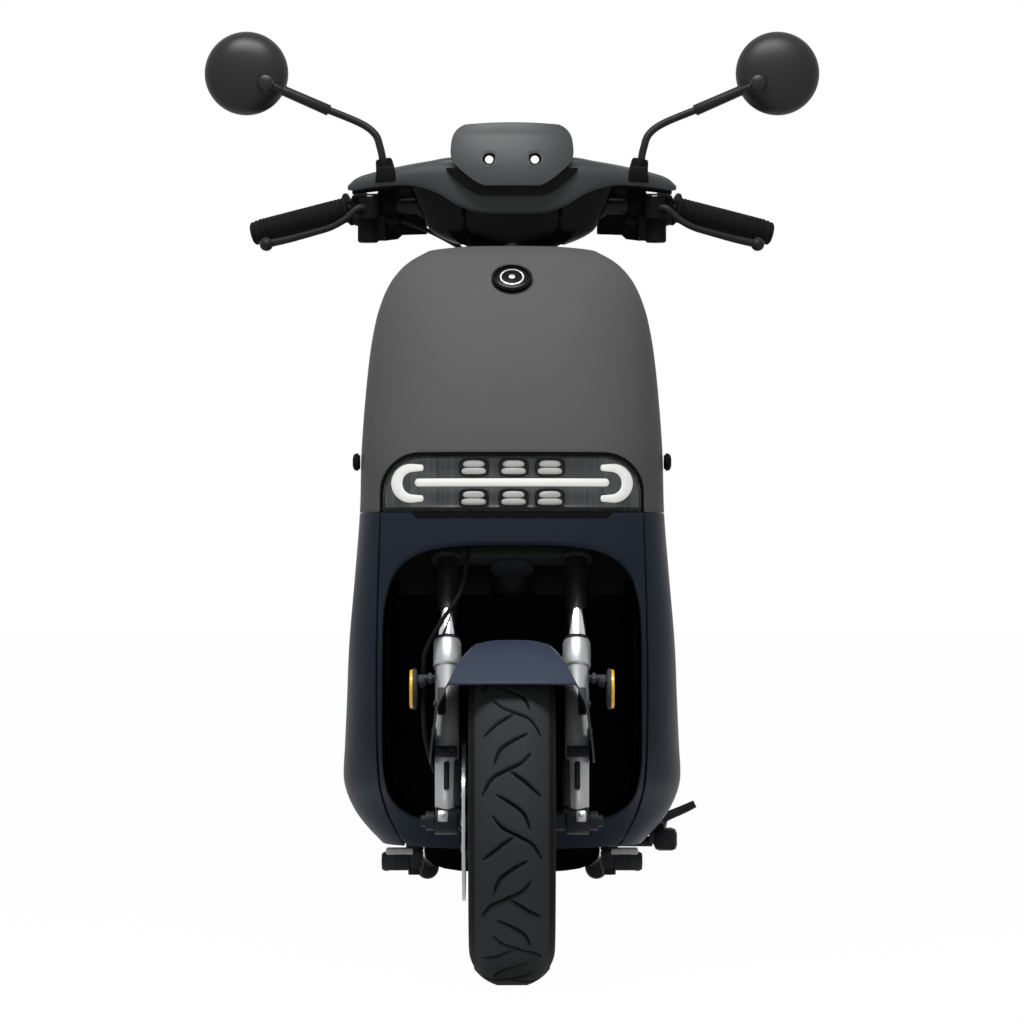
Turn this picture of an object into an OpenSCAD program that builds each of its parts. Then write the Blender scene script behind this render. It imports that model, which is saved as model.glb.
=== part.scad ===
// Moped scooter, built on its front axle. Front is -Y, up is +Z, millimetres.

/* [Wheels] */
// Outer diameter of the front tyre
front_tyre_d = 410; // [404:1:414]
// Width of the front tyre
front_tyre_w = 110; // [104:1:112]
// Outer diameter of the rear tyre
rear_tyre_d = 416; // [410:1:420]
// Width of the rear tyre
rear_tyre_w = 120; // [110:1:124]
// Diameter of the rims where the beads sit
bead_d = 254; // [252:1:258]
// Distance between the two axles
wheelbase = 1290; // [1280:2:1310]
// Diameter of both wheel axles
axle_d = 15; // [14:0.5:16]
// Diameter of the front brake disc
disc_d = 200; // [190:2:204]

/* [Fork] */
// Lean of the steering axis from vertical, degrees
rake = 26; // [25.5:0.1:26.5]
// Distance between the two fork tubes
fork_gap = 164; // [162:1:168]
// Diameter of the sliding fork tubes
tube_d = 28; // [26:0.5:29]
// Diameter of the steering stem
stem_d = 28; // [25:0.5:30]

/* [Handlebar] */
// Diameter of the handlebar tube
bar_d = 22.2; // [20:0.2:23]
// Diameter of the grips
grip_d = 34; // [31:0.5:36]
// Length of each grip
grip_l = 131; // [118:1:133]
// Diameter of the round mirrors
mirror_d = 112; // [100:1:120]
// Diameter of the ball at the lever ends
ball_d = 18; // [14:0.5:19]

/* [Body] */
// Half width of the leg shield beside the headlight
shield_w = 196; // [193:0.5:200]
// Height of the floorboard top
floor_z = 290; // [288:0.5:292]
// Thickness of the plastic panels
panel_t = 2.6; // [2:0.1:3]
// Height of the seat cushion at its crown
seat_z = 782; // [774:1:792]

/* [Fits and mounts] */
// Radial clearance of every turning or sliding fit
fit = 0.05; // [0.02:0.01:0.1]
// Spacing of the carrier holes along the scooter
carrier_y = 60; // [50:1:66]
// Spacing of the carrier holes across the scooter
carrier_x = 100; // [90:1:110]
// Spacing of the two holes in the plate bracket
plate_gap = 100; // [80:1:110]
// Spacing of the two holes in the flyscreen
screen_gap = 60; // [56:1:64]

/* [Hidden] */
$fn = 48;
r_f = front_tyre_d / 2;
r_r = rear_tyre_d / 2;
bead_r = bead_d / 2;
reach = 270;
y_f = -(r_f + wheelbase + reach) / 2 + r_f;
wb = wheelbase;
leg_x = fork_gap / 2;
tube_r = tube_d / 2;
stem_r = stem_d / 2;
bar_r = bar_d / 2;
ax_r = axle_d / 2;
st_y = 25;
bar_a = [215, 430, 999];
bar_b = [348, 460, 967];
bar_c = [118, 406.2, 1000.5];
bar_u = (bar_a - bar_c) / norm(bar_a - bar_c);
w_tab = [[152, 167], [165, 179], [173, 187], [193, 203], [212, 213], [231, 219], [250, 221],
  [290, 218], [347, 214.5], [424, 210.5], [518, 202], [594, 196], [672, 194], [748, 189],
  [806, 183], [845, 176], [864, 170.5], [880, 164.5], [897, 155.5], [912, 143.5], [923, 131],
  [935, 112]];
y_tab = [[150, 262], [190, 243], [215, 218], [250, 165], [300, 112], [400, 76], [520, 65],
  [600, 66], [665, 74], [740, 98], [820, 134], [870, 164], [891, 182], [912, 206], [925, 232],
  [935, 262]];
d_tab = [[150, 140], [250, 165], [300, 175], [400, 165], [600, 140], [740, 132], [820, 118],
  [900, 95], [935, 70]];
seam_tab = [[165, 108], [178, 120], [190, 131], [215, 146], [250, 160], [300, 168], [600, 169]];
arch = [[0, 550], [60, 549], [105, 543], [133, 530], [149, 512], [158, 488], [163, 450],
  [163, 360], [162.5, 290], [158, 258], [148, 232], [132, 208], [108, 192], [60, 189], [0, 188]];
band = [[0, 591], [60, 591], [110, 591], [145, 591], [167, 591], [167, 540], [167, 470],
  [167, 360], [166, 296], [160.5, 257], [152, 229], [137, 200], [112, 178], [60, 164], [0, 162]];
hose = [[-151.5, 30, 881], [-135, 31, 875], [-110, 35, 866], [-84, 39, 853], [-60, 33, 832],
  [-53, 24, 805], [-52, 8, 775], [-52, -8, 745], [-52, -13, 700], [-52, -14, 640],
  [-52, -14, 580], [-52, -14, 520], [-52, -20, 460], [-52, -30, 410], [-54, -36, 375],
  [-58, -38, 340], [-66, -34, 300], [-90, -26, 262], [-110, -6, 230], [-112, 16, 190],
  [-111, 36, 140], [-102, 56, 104], [-92, 64, 86]];

// Smooth curve through a table of key and value pairs.
function at(x, t, i = 0) = (i >= len(t) - 2 || x <= t[i + 1][0]) ? i : at(x, t, i + 1);
function slope(t, i) = let(a = max(0, i - 1), b = min(len(t) - 1, i + 1))
  (t[b][1] - t[a][1]) / (t[b][0] - t[a][0]);
function curve(x, t) = let(i = at(x, t), h = t[i + 1][0] - t[i][0],
  u = max(0, min(1, (x - t[i][0]) / h)), a = slope(t, i) * h, b = slope(t, i + 1) * h,
  p = t[i][1], q = t[i + 1][1])
  p + u * (a + u * (3 * (q - p) - 2 * a - b + u * (a + b - 2 * (q - p))));
function mix(a, b, u) = a + (b - a) * u;
function flip(p) = [-p[0], p[1], p[2]];
function sum(v, i = 0) = i >= len(v) - 1 ? v[i] : v[i] + sum(v, i + 1);

// The outer skin of the front body as depth over width and height.
function half_w(z) = curve(z, w_tab) * shield_w / 196;
function side_y(z) = curve(z, y_tab) + curve(z, d_tab);
function skin(x, z, n = 2.5) = let(t = min(1, abs(x) / half_w(z)))
  [x, curve(z, y_tab) + curve(z, d_tab) * (1 - pow(1 - pow(t, n), 1 / n)), z];

// Normal of a grid of points at one node.
function grid_n(p, i, j, wrap) = let(m = len(p) - 1, n = len(p[0]),
  du = p[min(m, i + 1)][j] - p[max(0, i - 1)][j],
  ja = wrap ? (j + n - 1) % n : max(0, j - 1), jb = wrap ? (j + 1) % n : min(n - 1, j + 1),
  c = cross(du, p[i][jb] - p[i][ja])) c / norm(c);

// A thick sheet from a grid of points, with cells left out where keep says so.
module sheet(p, t, wrap = false, keep = function(i, j) true) {
  m = len(p);
  n = len(p[0]);
  k = m * n;
  nj = wrap ? n : n - 1;
  has = function(i, j) i >= 0 && i < m - 1 && (wrap || (j >= 0 && j < nj))
    && keep(i, (j + nj) % nj);
  id = function(i, j) i * n + j % n;
  pts = concat([for (r = p) for (q = r) q],
    [for (i = [0 : m - 1]) for (j = [0 : n - 1]) p[i][j] + t * grid_n(p, i, j, wrap)]);
  quad = function(a, b, c, d) [[a, b, c], [a, c, d]];
  tri = [for (i = [0 : m - 2]) for (j = [0 : nj - 1]) if (has(i, j))
    let(a = id(i, j), b = id(i, j + 1), c = id(i + 1, j + 1), d = id(i + 1, j))
    concat([[a, b, c], [a, c, d], [k + a, k + c, k + b], [k + a, k + d, k + c]],
      has(i - 1, j) ? [] : quad(b, a, k + a, k + b),
      has(i, j + 1) ? [] : quad(c, b, k + b, k + c),
      has(i + 1, j) ? [] : quad(d, c, k + c, k + d),
      has(i, j - 1) ? [] : quad(a, d, k + d, k + a))];
  polyhedron(points = pts, faces = [for (g = tri) for (f = g) t > 0 ? [f[2], f[1], f[0]] : f]);
}
// A solid through a list of closed rings with the same number of points.
module loft(rings) {
  m = len(rings);
  n = len(rings[0]);
  pts = concat([for (r = rings) for (q = r) q], [sum(rings[0]) / n, sum(rings[m - 1]) / n]);
  body = [for (i = [0 : m - 2]) for (j = [0 : n - 1])
    let(a = i * n + j, b = i * n + (j + 1) % n) [[a, b + n, b], [a, a + n, b + n]]];
  caps = [for (j = [0 : n - 1]) let(b = (j + 1) % n)
    [[m * n, j, b], [m * n + 1, (m - 1) * n + b, (m - 1) * n + j]]];
  polyhedron(points = pts, faces = [for (g = concat(body, caps)) for (f = g) f]);
}
// A round bar from one point to another.
module rod(a, b, r, r2 = -1) {
  v = b - a;
  translate(a) rotate([0, acos(v[2] / norm(v)), atan2(v[1], v[0])])
    cylinder(r1 = r, r2 = r2 < 0 ? r : r2, h = norm(v));
}
// A round bar bent through a list of points.
module pipe(p, r) {
  for (i = [0 : len(p) - 2]) rod(p[i], p[i + 1], r);
  for (i = [1 : len(p) - 2]) translate(p[i]) sphere(r = r);
}
// Rings round a path, a smooth path through points, and a bent round bar swept along one.
function hose_ring(p, i, r, s = 45, q = [0.3, 1, 0.1]) = let(
  t = p[min(len(p) - 1, i + 1)] - p[max(0, i - 1)],
  u0 = cross(t, q), u = u0 / norm(u0), v0 = cross(t, u), v = v0 / norm(v0))
  [for (a = [0 : s : 359]) p[i] + r * (cos(a) * u + sin(a) * v)];
function spline(p, n) = concat([for (i = [0 : len(p) - 2]) for (k = [0 : n - 1])
  let(u = k / n, a = p[max(0, i - 1)], b = p[i], c = p[i + 1], d = p[min(len(p) - 1, i + 2)])
  0.5 * (2 * b + u * (c - a + u * (2 * a - 5 * b + 4 * c - d + u * (3 * b - a - 3 * c + d))))],
  [p[len(p) - 1]]);
module bent(p, r, n = 2, s = 36, q = [0.3, 1, 0.1]) {
  c = spline(p, n);
  loft([for (i = [0 : len(c) - 1]) hose_ring(c, i, r, s, q)]);
}
// A cylinder lying along X, centred on a point.
module pin(p, r, h) {
  translate([p[0] - h / 2, p[1], p[2]]) rotate([0, 90, 0]) cylinder(r = r, h = h);
}
// A cylinder lying along Y from a point.
module plug(p, r, h) {
  translate(p) rotate([-90, 0, 0]) cylinder(r = r, h = h);
}
module ring(ro, ri, h) {
  difference() {
    cylinder(r = ro, h = h);
    translate([0, 0, -1]) cylinder(r = ri, h = h + 2);
  }
}
module box(a, b) {
  translate(a) cube(b - a);
}
module both() {
  children();
  mirror([1, 0, 0]) children();
}
// Frames: Y measured from the front axle, and the steered fork.
module fr() {
  translate([0, y_f, 0]) children();
}
module steer() {
  translate([0, y_f, r_f]) rotate([-rake, 0, 0]) children();
}
// The bar frame: z runs outward along the grip, from its inner end.
module on_bar() {
  v = bar_b - bar_a;
  translate(bar_a) rotate([0, acos(v[2] / norm(v)), atan2(v[1], v[0])]) children();
}

// ---- wheels
function tyre_half(r, w, e, s, b0) = let(be = 45 / sqrt(1 - pow(18 / (w / 2), 2)),
  t1 = acos(18 / (w / 2)))
  concat(b0, [for (k = [0 : 6]) let(t = t1 * k / 6)
    [r - 45 + (be - e) * sin(t), (w / 2 - s) * cos(t)]]);
function twin(h) = concat(h, [for (i = [len(h) - 1 : -1 : 0]) [h[i][0], -h[i][1]]]);
module tyre(d, w) {
  r = d / 2;
  b = bead_r;
  outer = twin(tyre_half(r, w, 0, 0, [[b, 0.38 * w], [b + 14, 0.38 * w], [b + 21, 0.47 * w]]));
  inner = twin(tyre_half(r, w, 11, 7, [[b, 0.30 * w], [b + 13, 0.32 * w]]));
  rotate([0, 90, 0]) rotate_extrude($fn = 96)
    polygon(concat(outer, [for (i = [len(inner) - 1 : -1 : 0]) inner[i]]));
}
module barrel(w) {
  b = bead_r - 0.3;
  o = [[b + 12, 0.38 * w + 5], [b + 12, 0.38 * w + 0.4], [b, 0.38 * w + 0.4], [b, 0.27 * w],
    [b - 15, 0.2 * w]];
  n = [[b - 6, 0.38 * w + 5], [b - 7, 0.27 * w], [b - 20, 0.18 * w]];
  rotate([0, 90, 0]) rotate_extrude($fn = 96)
    polygon(concat(twin(o), [for (q = twin(n)) [q[0], -q[1]]]));
}
module front_tyre() {
  color("#2a2a2b") translate([0, y_f, r_f]) tyre(front_tyre_d, front_tyre_w);
}
module front_rim() {
  color("#1b1c1e") translate([0, y_f, r_f]) difference() {
    union() {
      barrel(front_tyre_w);
      pin([0, 0, 0], 30, 100);
      pin([-54, 0, 0], 46, 8);
      for (a = [0 : 72 : 359]) rotate([a, 0, 0]) box([-12, -11, 24], [12, 11, bead_r - 12]);
    }
    pin([0, 0, 0], ax_r + fit, 140);
  }
}
module front_disc() {
  ri = disc_d / 2 - 27;
  color("#b9bbbd") translate([-62, y_f, r_f]) rotate([0, 90, 0]) difference() {
    cylinder(r = disc_d / 2, h = 4);
    translate([0, 0, -1]) cylinder(r = 30, h = 6);
    for (a = [0 : 60 : 359]) rotate([0, 0, a + 30]) translate([(ri + 44) / 2, 0, -1])
      cylinder(r = (ri - 44) / 2, h = 6);
    for (a = [0 : 20 : 359], k = [0, 1]) rotate([0, 0, a + 7 * k])
      translate([disc_d / 2 - 8 - 10 * k, 0, -1]) cylinder(r = 3, h = 6, $fn = 24);
  }
}
module rear_tyre() {
  color("#2a2a2b") translate([0, y_f + wb, r_r]) tyre(rear_tyre_d, rear_tyre_w);
}
module hub_motor() {
  color("#2b2d30") translate([0, y_f + wb, r_r]) difference() {
    union() {
      barrel(rear_tyre_w);
      pin([0, 0, 0], 92, 104);
      pin([0, 0, 0], 60, 132);
      pin([0, 0, 0], bead_r - 8, 30);
    }
    pin([0, 0, 0], ax_r + fit, 180);
  }
}
module rear_disc() {
  color("#b9bbbd") translate([-70, y_f + wb, r_r]) rotate([0, 90, 0]) difference() {
    ring(90, 38, 4);
    for (a = [0 : 30 : 359], k = [0, 1]) rotate([0, 0, a + 12 * k])
      translate([80 - 14 * k, 0, -1]) cylinder(r = 3, h = 6, $fn = 24);
  }
}
// ---- fork
module fork_lowers() {
  color("#aeb0b2") steer() difference() {
    union() {
      both() {
        translate([leg_x, 0, -6]) cylinder(r = tube_r + 1.6, h = 224);
        translate([leg_x, 0, 215]) cylinder(r = tube_r + 3.6, h = 37);
        translate([leg_x, 0, 20]) cylinder(r = tube_r + 2.6, h = 60);
        pin([leg_x, 0, 0], 19, 30);
        pin([leg_x + 15, 0, 120], 8, 8);
        pin([leg_x + 14, 0, 196], 5, 12);
      }
      box([-leg_x - 11, 8, 66], [-leg_x + 11, 36, 92]);
    }
    both() translate([leg_x, 0, 45]) cylinder(r = tube_r + fit, h = 210);
    pin([0, 0, 0], ax_r, 300);
  }
}
module front_axle() {
  color("#9a9c9f") translate([0, y_f, r_f]) {
    pin([0, 0, 0], ax_r, 214);
    both() pin([leg_x + tube_r + 6.65, 0, 0], 12, 10);
    pin([-(leg_x + 43) / 2 + 0.35, 0, 0], 12, leg_x - 15 - 58.7);
    pin([(50.5 + leg_x - 15.7) / 2, 0, 0], 12, leg_x - 15.7 - 50.5);
  }
}
function fender_edge(a) = curve(a, [[51, 183], [62, 166], [75, 128], [90, 84], [105, 76],
  [116, 80], [128, 116]]);
function fender_side(a) = curve(a, [[51, 79], [62, 90], [75, 100], [90, 104.5], [116, 104.5],
  [128, 104.5]]);
function fender_pt(a, k) = let(r = r_f + 21, sx = fender_side(a), e = fender_edge(a),
  u = [[0, 0], [20, 0.4], [38, 2.5], [50, 12], [62, 24], [mix(72, 80, (sx - 79) / 25.5), 36],
  [mix(76, 101, (sx - 79) / 25.5), 52], [sx, mix(r - e, 74, 0.5)], [sx, r - e]][k])
  [u[0], -cos(a) * (r - u[1]), sin(a) * (r - u[1])];
module front_fender() {
  rows = [51, 56, 62, 69, 76, 83, 90, 97, 104, 110.2, 116, 121.8, 125, 128];
  p = [for (a = rows) [for (k = [-8 : 8]) let(q = fender_pt(a, abs(k)))
    k < 0 ? flip(q) : q]];
  color("#3c424c") translate([0, y_f, r_f])
    sheet(p, panel_t, keep = function(i, j) !((i == 9 || i == 10)
      && (j == 2 || j == 3 || j == 12 || j == 13)));
}
module front_caliper() {
  color("#1c1d1f") steer() difference() {
    union() {
      box([-leg_x - 10, 36, 48], [-49, 80, 82]);
      pin([-leg_x - 4, 66, 66], 15, 14);
    }
    translate([-60, 0, 0]) rotate([0, 90, 0]) cylinder(r = disc_d / 2 + 3, h = 7, center = true);
  }
}
module side_reflectors() {
  color("#a87414") steer() both() {
    pin([122, 0, 181], 26, 6);
    pin([(leg_x + 20 + 119) / 2, 0, 196], 4.5, 119 - leg_x - 20);
  }
}
// ---- steering
module steering_stem() {
  color("#232427") steer() difference() {
    union() {
      both() {
        translate([leg_x, 0, 150]) cylinder(r = tube_r, h = 241);
        translate([leg_x, 0, 361]) cylinder(r = tube_r + 8, h = 30);
      }
      translate([0, st_y, 361]) cylinder(r = 28, h = 30);
      box([-leg_x, -16, 363], [leg_x, 22, 389]);
      translate([0, st_y, 380]) cylinder(r = stem_r, h = 440);
    }
    both() translate([leg_x, 0, 140]) cylinder(r = tube_r - 3, h = 235);
    translate([0, st_y, 350]) cylinder(r = stem_r - 3.5, h = 480);
  }
}
module handlebar() {
  d2 = (bar_b - bar_a) / norm(bar_b - bar_a);
  color("#1d1e20") {
    fr() {
      both() {
        rod(bar_c, bar_a - 4 * bar_u, bar_r);
        rod(bar_a - 14 * bar_u, bar_a + 14 * d2, bar_r - 3);
        rod(bar_a + 2 * d2, bar_a + (grip_l - 1) * d2, bar_r);
        rod([34, 395, 955], [30, 404, 1045.9], 5);
        rod([44, 393, 951], [124, 408.5, 1002], bar_r + 1.2);
      }
      rod([-52, 394, 948], [52, 394, 948], bar_r + 1.9);
    }
    steer() translate([0, st_y, 774]) difference() {
      cylinder(r = stem_r + 9, h = 60);
      translate([0, 0, -1]) cylinder(r = stem_r, h = 48);
    }
  }
}
cov_t = [[0, 1046], [45, 1050], [75, 1062], [110, 1058], [146, 1052], [198, 1040], [218, 1030]];
cov_b = [[0, 987], [44, 989], [73, 1001], [100, 1017], [138, 1027], [218, 1021]];
cov_f = [[0, 332], [80, 342], [140, 362], [190, 382], [218, 396]];
cov_r = [[0, 456], [90, 448], [125, 416], [145, 408], [218, 407]];
function cover_row(s) = let(x = abs(s), f = curve(x, cov_f), r = curve(x, cov_r),
  t = curve(x, cov_t), b = curve(x, cov_b), g = min(12, (r - f) * 0.35),
  h = t - b)
  [[s, r, b + h * 0.25], [s, r, t - h * 0.2], [s, r - g, t], [s, mix(r, f, 0.5), t + 1],
  [s, f + g, t - 1], [s, f + g * 0.3, t - h * 0.25], [s, f, b + h * 0.4], [s, f + g * 0.2, b],
  [s, f + g, b - 1]];
module handlebar_cover() {
  xs = [218, 208, 190, 170, 146, 122, 100, 84, 73, 60, 44, 22, 0];
  all = concat(xs, [for (i = [len(xs) - 2 : -1 : 0]) -xs[i]]);
  color("#5a5c5c") fr() difference() {
    sheet([for (s = all) cover_row(s)], panel_t);
    display_form(20);
  }
}
module handlebar_skirt() {
  zs = [[997, 140], [984, 127], [972, 108], [961, 88], [952, 72]];
  p = [for (q = zs) [for (k = [-6 : 6]) let(a = k * 12, y0 = 352 + (997 - q[0]) * 0.1)
    [q[1] * sin(a) * (1 - 0.06 * pow(sin(a), 4)), mix(408, y0, pow(cos(a), 0.6)), q[0]]]];
  color("#141415") fr() {
    sheet(p, -panel_t);
    both() plug([32.2, 355, 985], 3, 37.6);
  }
}
fly_t = [[1022, 36], [1030, 50], [1040, 66], [1050, 77], [1061, 81], [1077, 80], [1088, 78],
  [1098, 72], [1104, 62]];
module flyscreen() {
  zs = [1022, 1030, 1040, 1050, 1061, 1070, 1080, 1090, 1098, 1104];
  p = [for (z = zs) [for (k = [-5 : 5]) let(x = curve(z, fly_t) * sin(k * 18))
    [x, 314 + pow((z - 1022) / 82, 1.6) * 26 + 16 * pow(x / 81, 2),
    z + (z > 1090 ? 3 * (1 - pow(x / 72, 2)) : 0)]]];
  color("#606162") fr() difference() {
    union() {
      sheet(p, -3);
      both() {
        plug([screen_gap / 2, 319.5, 1057], 8, 12);
        plug([40, 317, 1034], 5, 18);
      }
    }
    both() plug([screen_gap / 2, 300, 1057], 5.5, 60);
  }
}
module display_form(h) {
  translate([0, 400, 1049.5]) rotate([8, 0, 0]) {
    box([-38, 0, 0], [38, 44, h]);
    both() translate([38, 22, 0]) cylinder(r = 22, h = h);
  }
}
module dash_display() {
  color("#101113") fr() display_form(6);
}
module grip_body() {
  difference() {
    union() {
      cylinder(r = grip_d / 2, h = grip_l);
      cylinder(r = grip_d / 2 + 5, h = 5);
      translate([0, 0, grip_l]) cylinder(r = grip_d / 2 - 1.5, h = 7.5);
    }
    for (z = [12, 17, 22, grip_l - 22, grip_l - 17, grip_l - 12]) translate([0, 0, z])
      ring(grip_d / 2 + 2, grip_d / 2 - 1.5, 2);
    translate([0, 0, -1]) cylinder(r = bar_r + fit, h = grip_l + 3);
  }
}
module left_grip() {
  color("#1a1a1b") fr() on_bar() grip_body();
}
module throttle_grip() {
  color("#1a1a1b") mirror([1, 0, 0]) fr() on_bar() grip_body();
}
module switch_housings() {
  color("#161617") fr() for (m = [0, 1]) mirror([m, 0, 0]) {
    difference() {
      union() {
        rod([210.4, 428.9, 999], [172, 419.4, 999.7], 19.5);
        rod([158, 416, 999.9], [172.5, 419.5, 999.7], 15);
        translate([166, 428, 996]) cylinder(r = 13, h = 31);
        translate([188, 398, 983]) cylinder(r = 13, h = 28);
        box([176, 400, 983], [200, 416, 1011]);
        rod([172, 417, 984], [152, 413.4, 984], 6);
        box([112, 427.5, 966], [170, 431.5, 1022]);
        translate([191, 412, 955]) cylinder(r = 14, h = 30);
      }
      rod(bar_c, bar_a + 8 * bar_u, bar_r + fit);
      translate([166, 428, 1012]) cylinder(r = 5 + fit, h = 30);
      translate([188, 398, 992.5]) ring(40, 4, 9.2);
      if (m == 0) box([184, 439, 1006], [206, 460, 1016]);
      if (m == 0) plug([195, 438, 995], 5 + fit, 20);
    }
    difference() {
      rod([205, 427.6, 999.1], [172, 419.4, 999.7], 19.5);
      rod(bar_c, bar_a + 8 * bar_u, bar_r + fit);
      translate([188, 398, 980]) cylinder(r = 13.5, h = 40);
      if (m == 0) plug([195, 438, 995], 5 + fit, 20);
      box([160, 360, 980], [230, 418, 1020]);
      box([160, 360, 900], [230, 480, 992.3]);
      box([160, 360, 1001.9], [230, 480, 1100]);
    }
  }
}
module turn_switch() {
  color("#2b2b2c") fr() {
    box([190, 439.2, 1006.2], [200, 444, 1012]);
    box([192, 444, 1007], [198, 449, 1011]);
  }
}
module horn_button() {
  color("#b8b020") fr() plug([195, 444, 995], 5, 6);
}
lever_pts = [[190, 394, 997], [204, 387, 996.6], [221, 386, 982], [240, 387.5, 971.5],
  [262, 391, 965], [295, 397, 956.5], [324, 401, 950.5]];
module lever() {
  difference() {
    union() {
      translate([188, 398, 993.05]) cylinder(r = 11, h = 7.9);
      bent(lever_pts, 3.8, 2, 36, [0, 0.2, 1]);
      translate([326, 401, 950]) sphere(r = ball_d / 2);
    }
    translate([188, 398, 980]) cylinder(r = 4 + fit, h = 40);
  }
}
module brake_lever_left() {
  color("#202124") fr() lever();
}
module brake_lever_right() {
  color("#202124") mirror([1, 0, 0]) fr() lever();
}
arm_pts = [[170.5, 428, 1054], [172.5, 428, 1066], [175.5, 429, 1080], [182.5, 432, 1098.5],
  [203, 437, 1114], [250, 440, 1133.5]];
module mirror_arm() {
  translate([166, 428, 1013]) cylinder(r = 5, h = 20);
  translate([166, 428, 1027.3]) cylinder(r1 = 15.5, r2 = 14, h = 8);
  rod([166, 428, 1035], [171, 428, 1065], 13.4, 10.2);
  bent(arm_pts, 5, 2);
  rod([244, 440.4, 1130.9], [306, 436.4, 1157.7], 7.5);
  rod([303, 436.6, 1156.4], [328.5, 435, 1167.4], 4.5);
  translate([328.5, 435, 1167.4]) sphere(r = 7);
}
module mirror_arm_left() {
  color("#2a2b2c") fr() mirror_arm();
}
module mirror_arm_right() {
  color("#2a2b2c") mirror([1, 0, 0]) fr() mirror_arm();
}
module mirror_head() {
  r = mirror_d / 2;
  translate([355.5, 450, 1182.4]) rotate([-90, 0, 0]) {
    difference() {
      union() {
        rotate_extrude($fn = 72) polygon([[0, -16], [r * 0.45, -14], [r * 0.75, -8],
          [r * 0.93, 2], [r, 12], [r, 15], [r - 3, 15], [r - 4, 8], [0, 8]]);
        translate([-27, 15, -24]) cylinder(r = 11, h = 16);
      }
      translate([-27, 15, -15]) sphere(r = 7.3);
      translate([-27, 15, -15]) rotate([0, -90, -21]) cylinder(r = 7.6, h = 40);
    }
    translate([0, 0, 8]) cylinder(r = r - 5, h = 3);
  }
}
module mirror_head_left() {
  color("#4b4c4d") fr() mirror_head();
}
module mirror_head_right() {
  color("#4b4c4d") mirror([1, 0, 0]) fr() mirror_head();
}
module brake_hose() {
  color("#4a4b4c") steer() bent(hose, 3, 3, 45);
}
// ---- front body
function lens_w(z) = z > 615 ? 117 + sqrt(max(0, 2304 - pow(z - 615, 2))) : 165;
function opening_w(z, g) = z > 615 + g ? 117 + sqrt(max(0, pow(48 + g, 2) - pow(z - 615, 2)))
  : 165 + g;
shield_z = [668, 666, 661, 653, 643, 630, 612, 592];
function shield_row(z) = let(w = half_w(z),
  c = z > 668 ? mix(117, w * 0.62, min(1, (z - 668) / 120))
    : 117 + 0.95 * sqrt(max(0, 53 * 53 - pow(max(z, 615) - 615, 2))),
  h = concat([for (k = [0 : 4]) c * k / 5], [for (k = [0 : 5]) mix(c, w, sin(k * 18))]))
  concat([for (k = [10 : -1 : 1]) flip(skin(h[k], z))], [for (k = [0 : 10]) skin(h[k], z)]);
module front_shield() {
  zs = concat([935, 923, 912, 900, 886, 868, 845, 815, 780, 740, 705], shield_z);
  top = shield_row(935);
  cap = [for (k = [3, 2, 1]) [for (q = top)
    [q[0] * (1 - 0.03 * k * k), q[1] + 12 * k, q[2] + 2.2 * k]]];
  color("#636363") fr() sheet(concat(cap, [for (z = zs) shield_row(z)]), panel_t,
    keep = function(i, j) !(i >= 14 && j >= 5 && j < 15));
}
module headlight_lens() {
  zs = [663, 660, 654, 645, 632, 615, 596];
  p = [for (z = zs) [for (k = [-7 : 7])
    let(c = k / 7, q = skin((lens_w(z) - 0.3) * c * (1.25 - 0.25 * abs(c)), z)) q + [0, 2, 0]]];
  color([0.25, 0.26, 0.27, 0.5]) fr() sheet(p, 2.2);
}
function behind(x, z, d) = let(fx = (skin(x + 1, z)[1] - skin(x - 1, z)[1]) / 2,
  fz = (skin(x, z + 1)[1] - skin(x, z - 1)[1]) / 2)
  skin(x, z) + [0, d * sqrt(1 + fx * fx + fz * fz), 0];
module headlight_unit() {
  zs = [674, 664, 657, 640, 618, 602, 596];
  p = [for (i = [0 : 6]) [for (k = [-7 : 7])
    let(z = zs[i], w = lens_w(z), a = abs(k), e = i < 1 || a == 7,
      x = (a == 7 ? w + 13 : a == 6 ? w + 3 : (w - 3) * a / 5) * sign(k))
    behind(x, z, e ? panel_t + 1.5 : i == 1 || i == 6 || a == 6 ? 4.8
      : 30 / (1 + pow(a / 6, 4)))]];
  color("#202122") fr() {
    sheet(p, 3);
    for (x = [-48, 1, 47]) {
      box([x - 15, 85, 640], [x + 15, 101, 657]);
      box([x - 15, 82, 601], [x + 15, 97, 618]);
    }
    box([-105, 84, 625], [105, 98, 635]);
    both() {
      box([104, 93.5, 625], [126, 106, 635]);
      box([124, 103.5, 622], [141.5, 128, 638]);
      box([141, 112, 622], [154, 130, 638]);
    }
  }
}
module front_cowl() {
  n = len(arch);
  full = function(t) concat(t, [for (i = [n - 2 : -1 : 1]) [-t[i][0], t[i][1]]]);
  a = full(arch);
  b = full(band);
  p = [[for (q = a) skin(q[0], q[1]) + [0, 24, 0]], [for (q = a) skin(q[0], q[1])],
    [for (i = [0 : len(a) - 1]) skin(mix(a[i][0], b[i][0], 0.5), mix(a[i][1], b[i][1], 0.5))],
    [for (q = b) skin(q[0], q[1])]];
  color("#2c3038") fr() sheet(p, panel_t, wrap = true);
}
side_end = [[150, 446], [182, 446], [200, 650], [284, 692], [296, 420], [312, 330]];
function side_row(z) = let(w = half_w(z), s = curve(z, seam_tab), y = side_y(z),
  e = z < 312 ? lookup(z, side_end) : y + 14,
  ww = w - (z < 312 ? 22 : 0))
  concat([for (k = [0 : 6]) skin(mix(s, w, sin(k * 15)), z)],
  [for (k = [1 : 4]) [mix(w, ww, pow(k / 4, 2)), mix(y, max(e, y + 12), k / 4), z]]);
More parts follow.
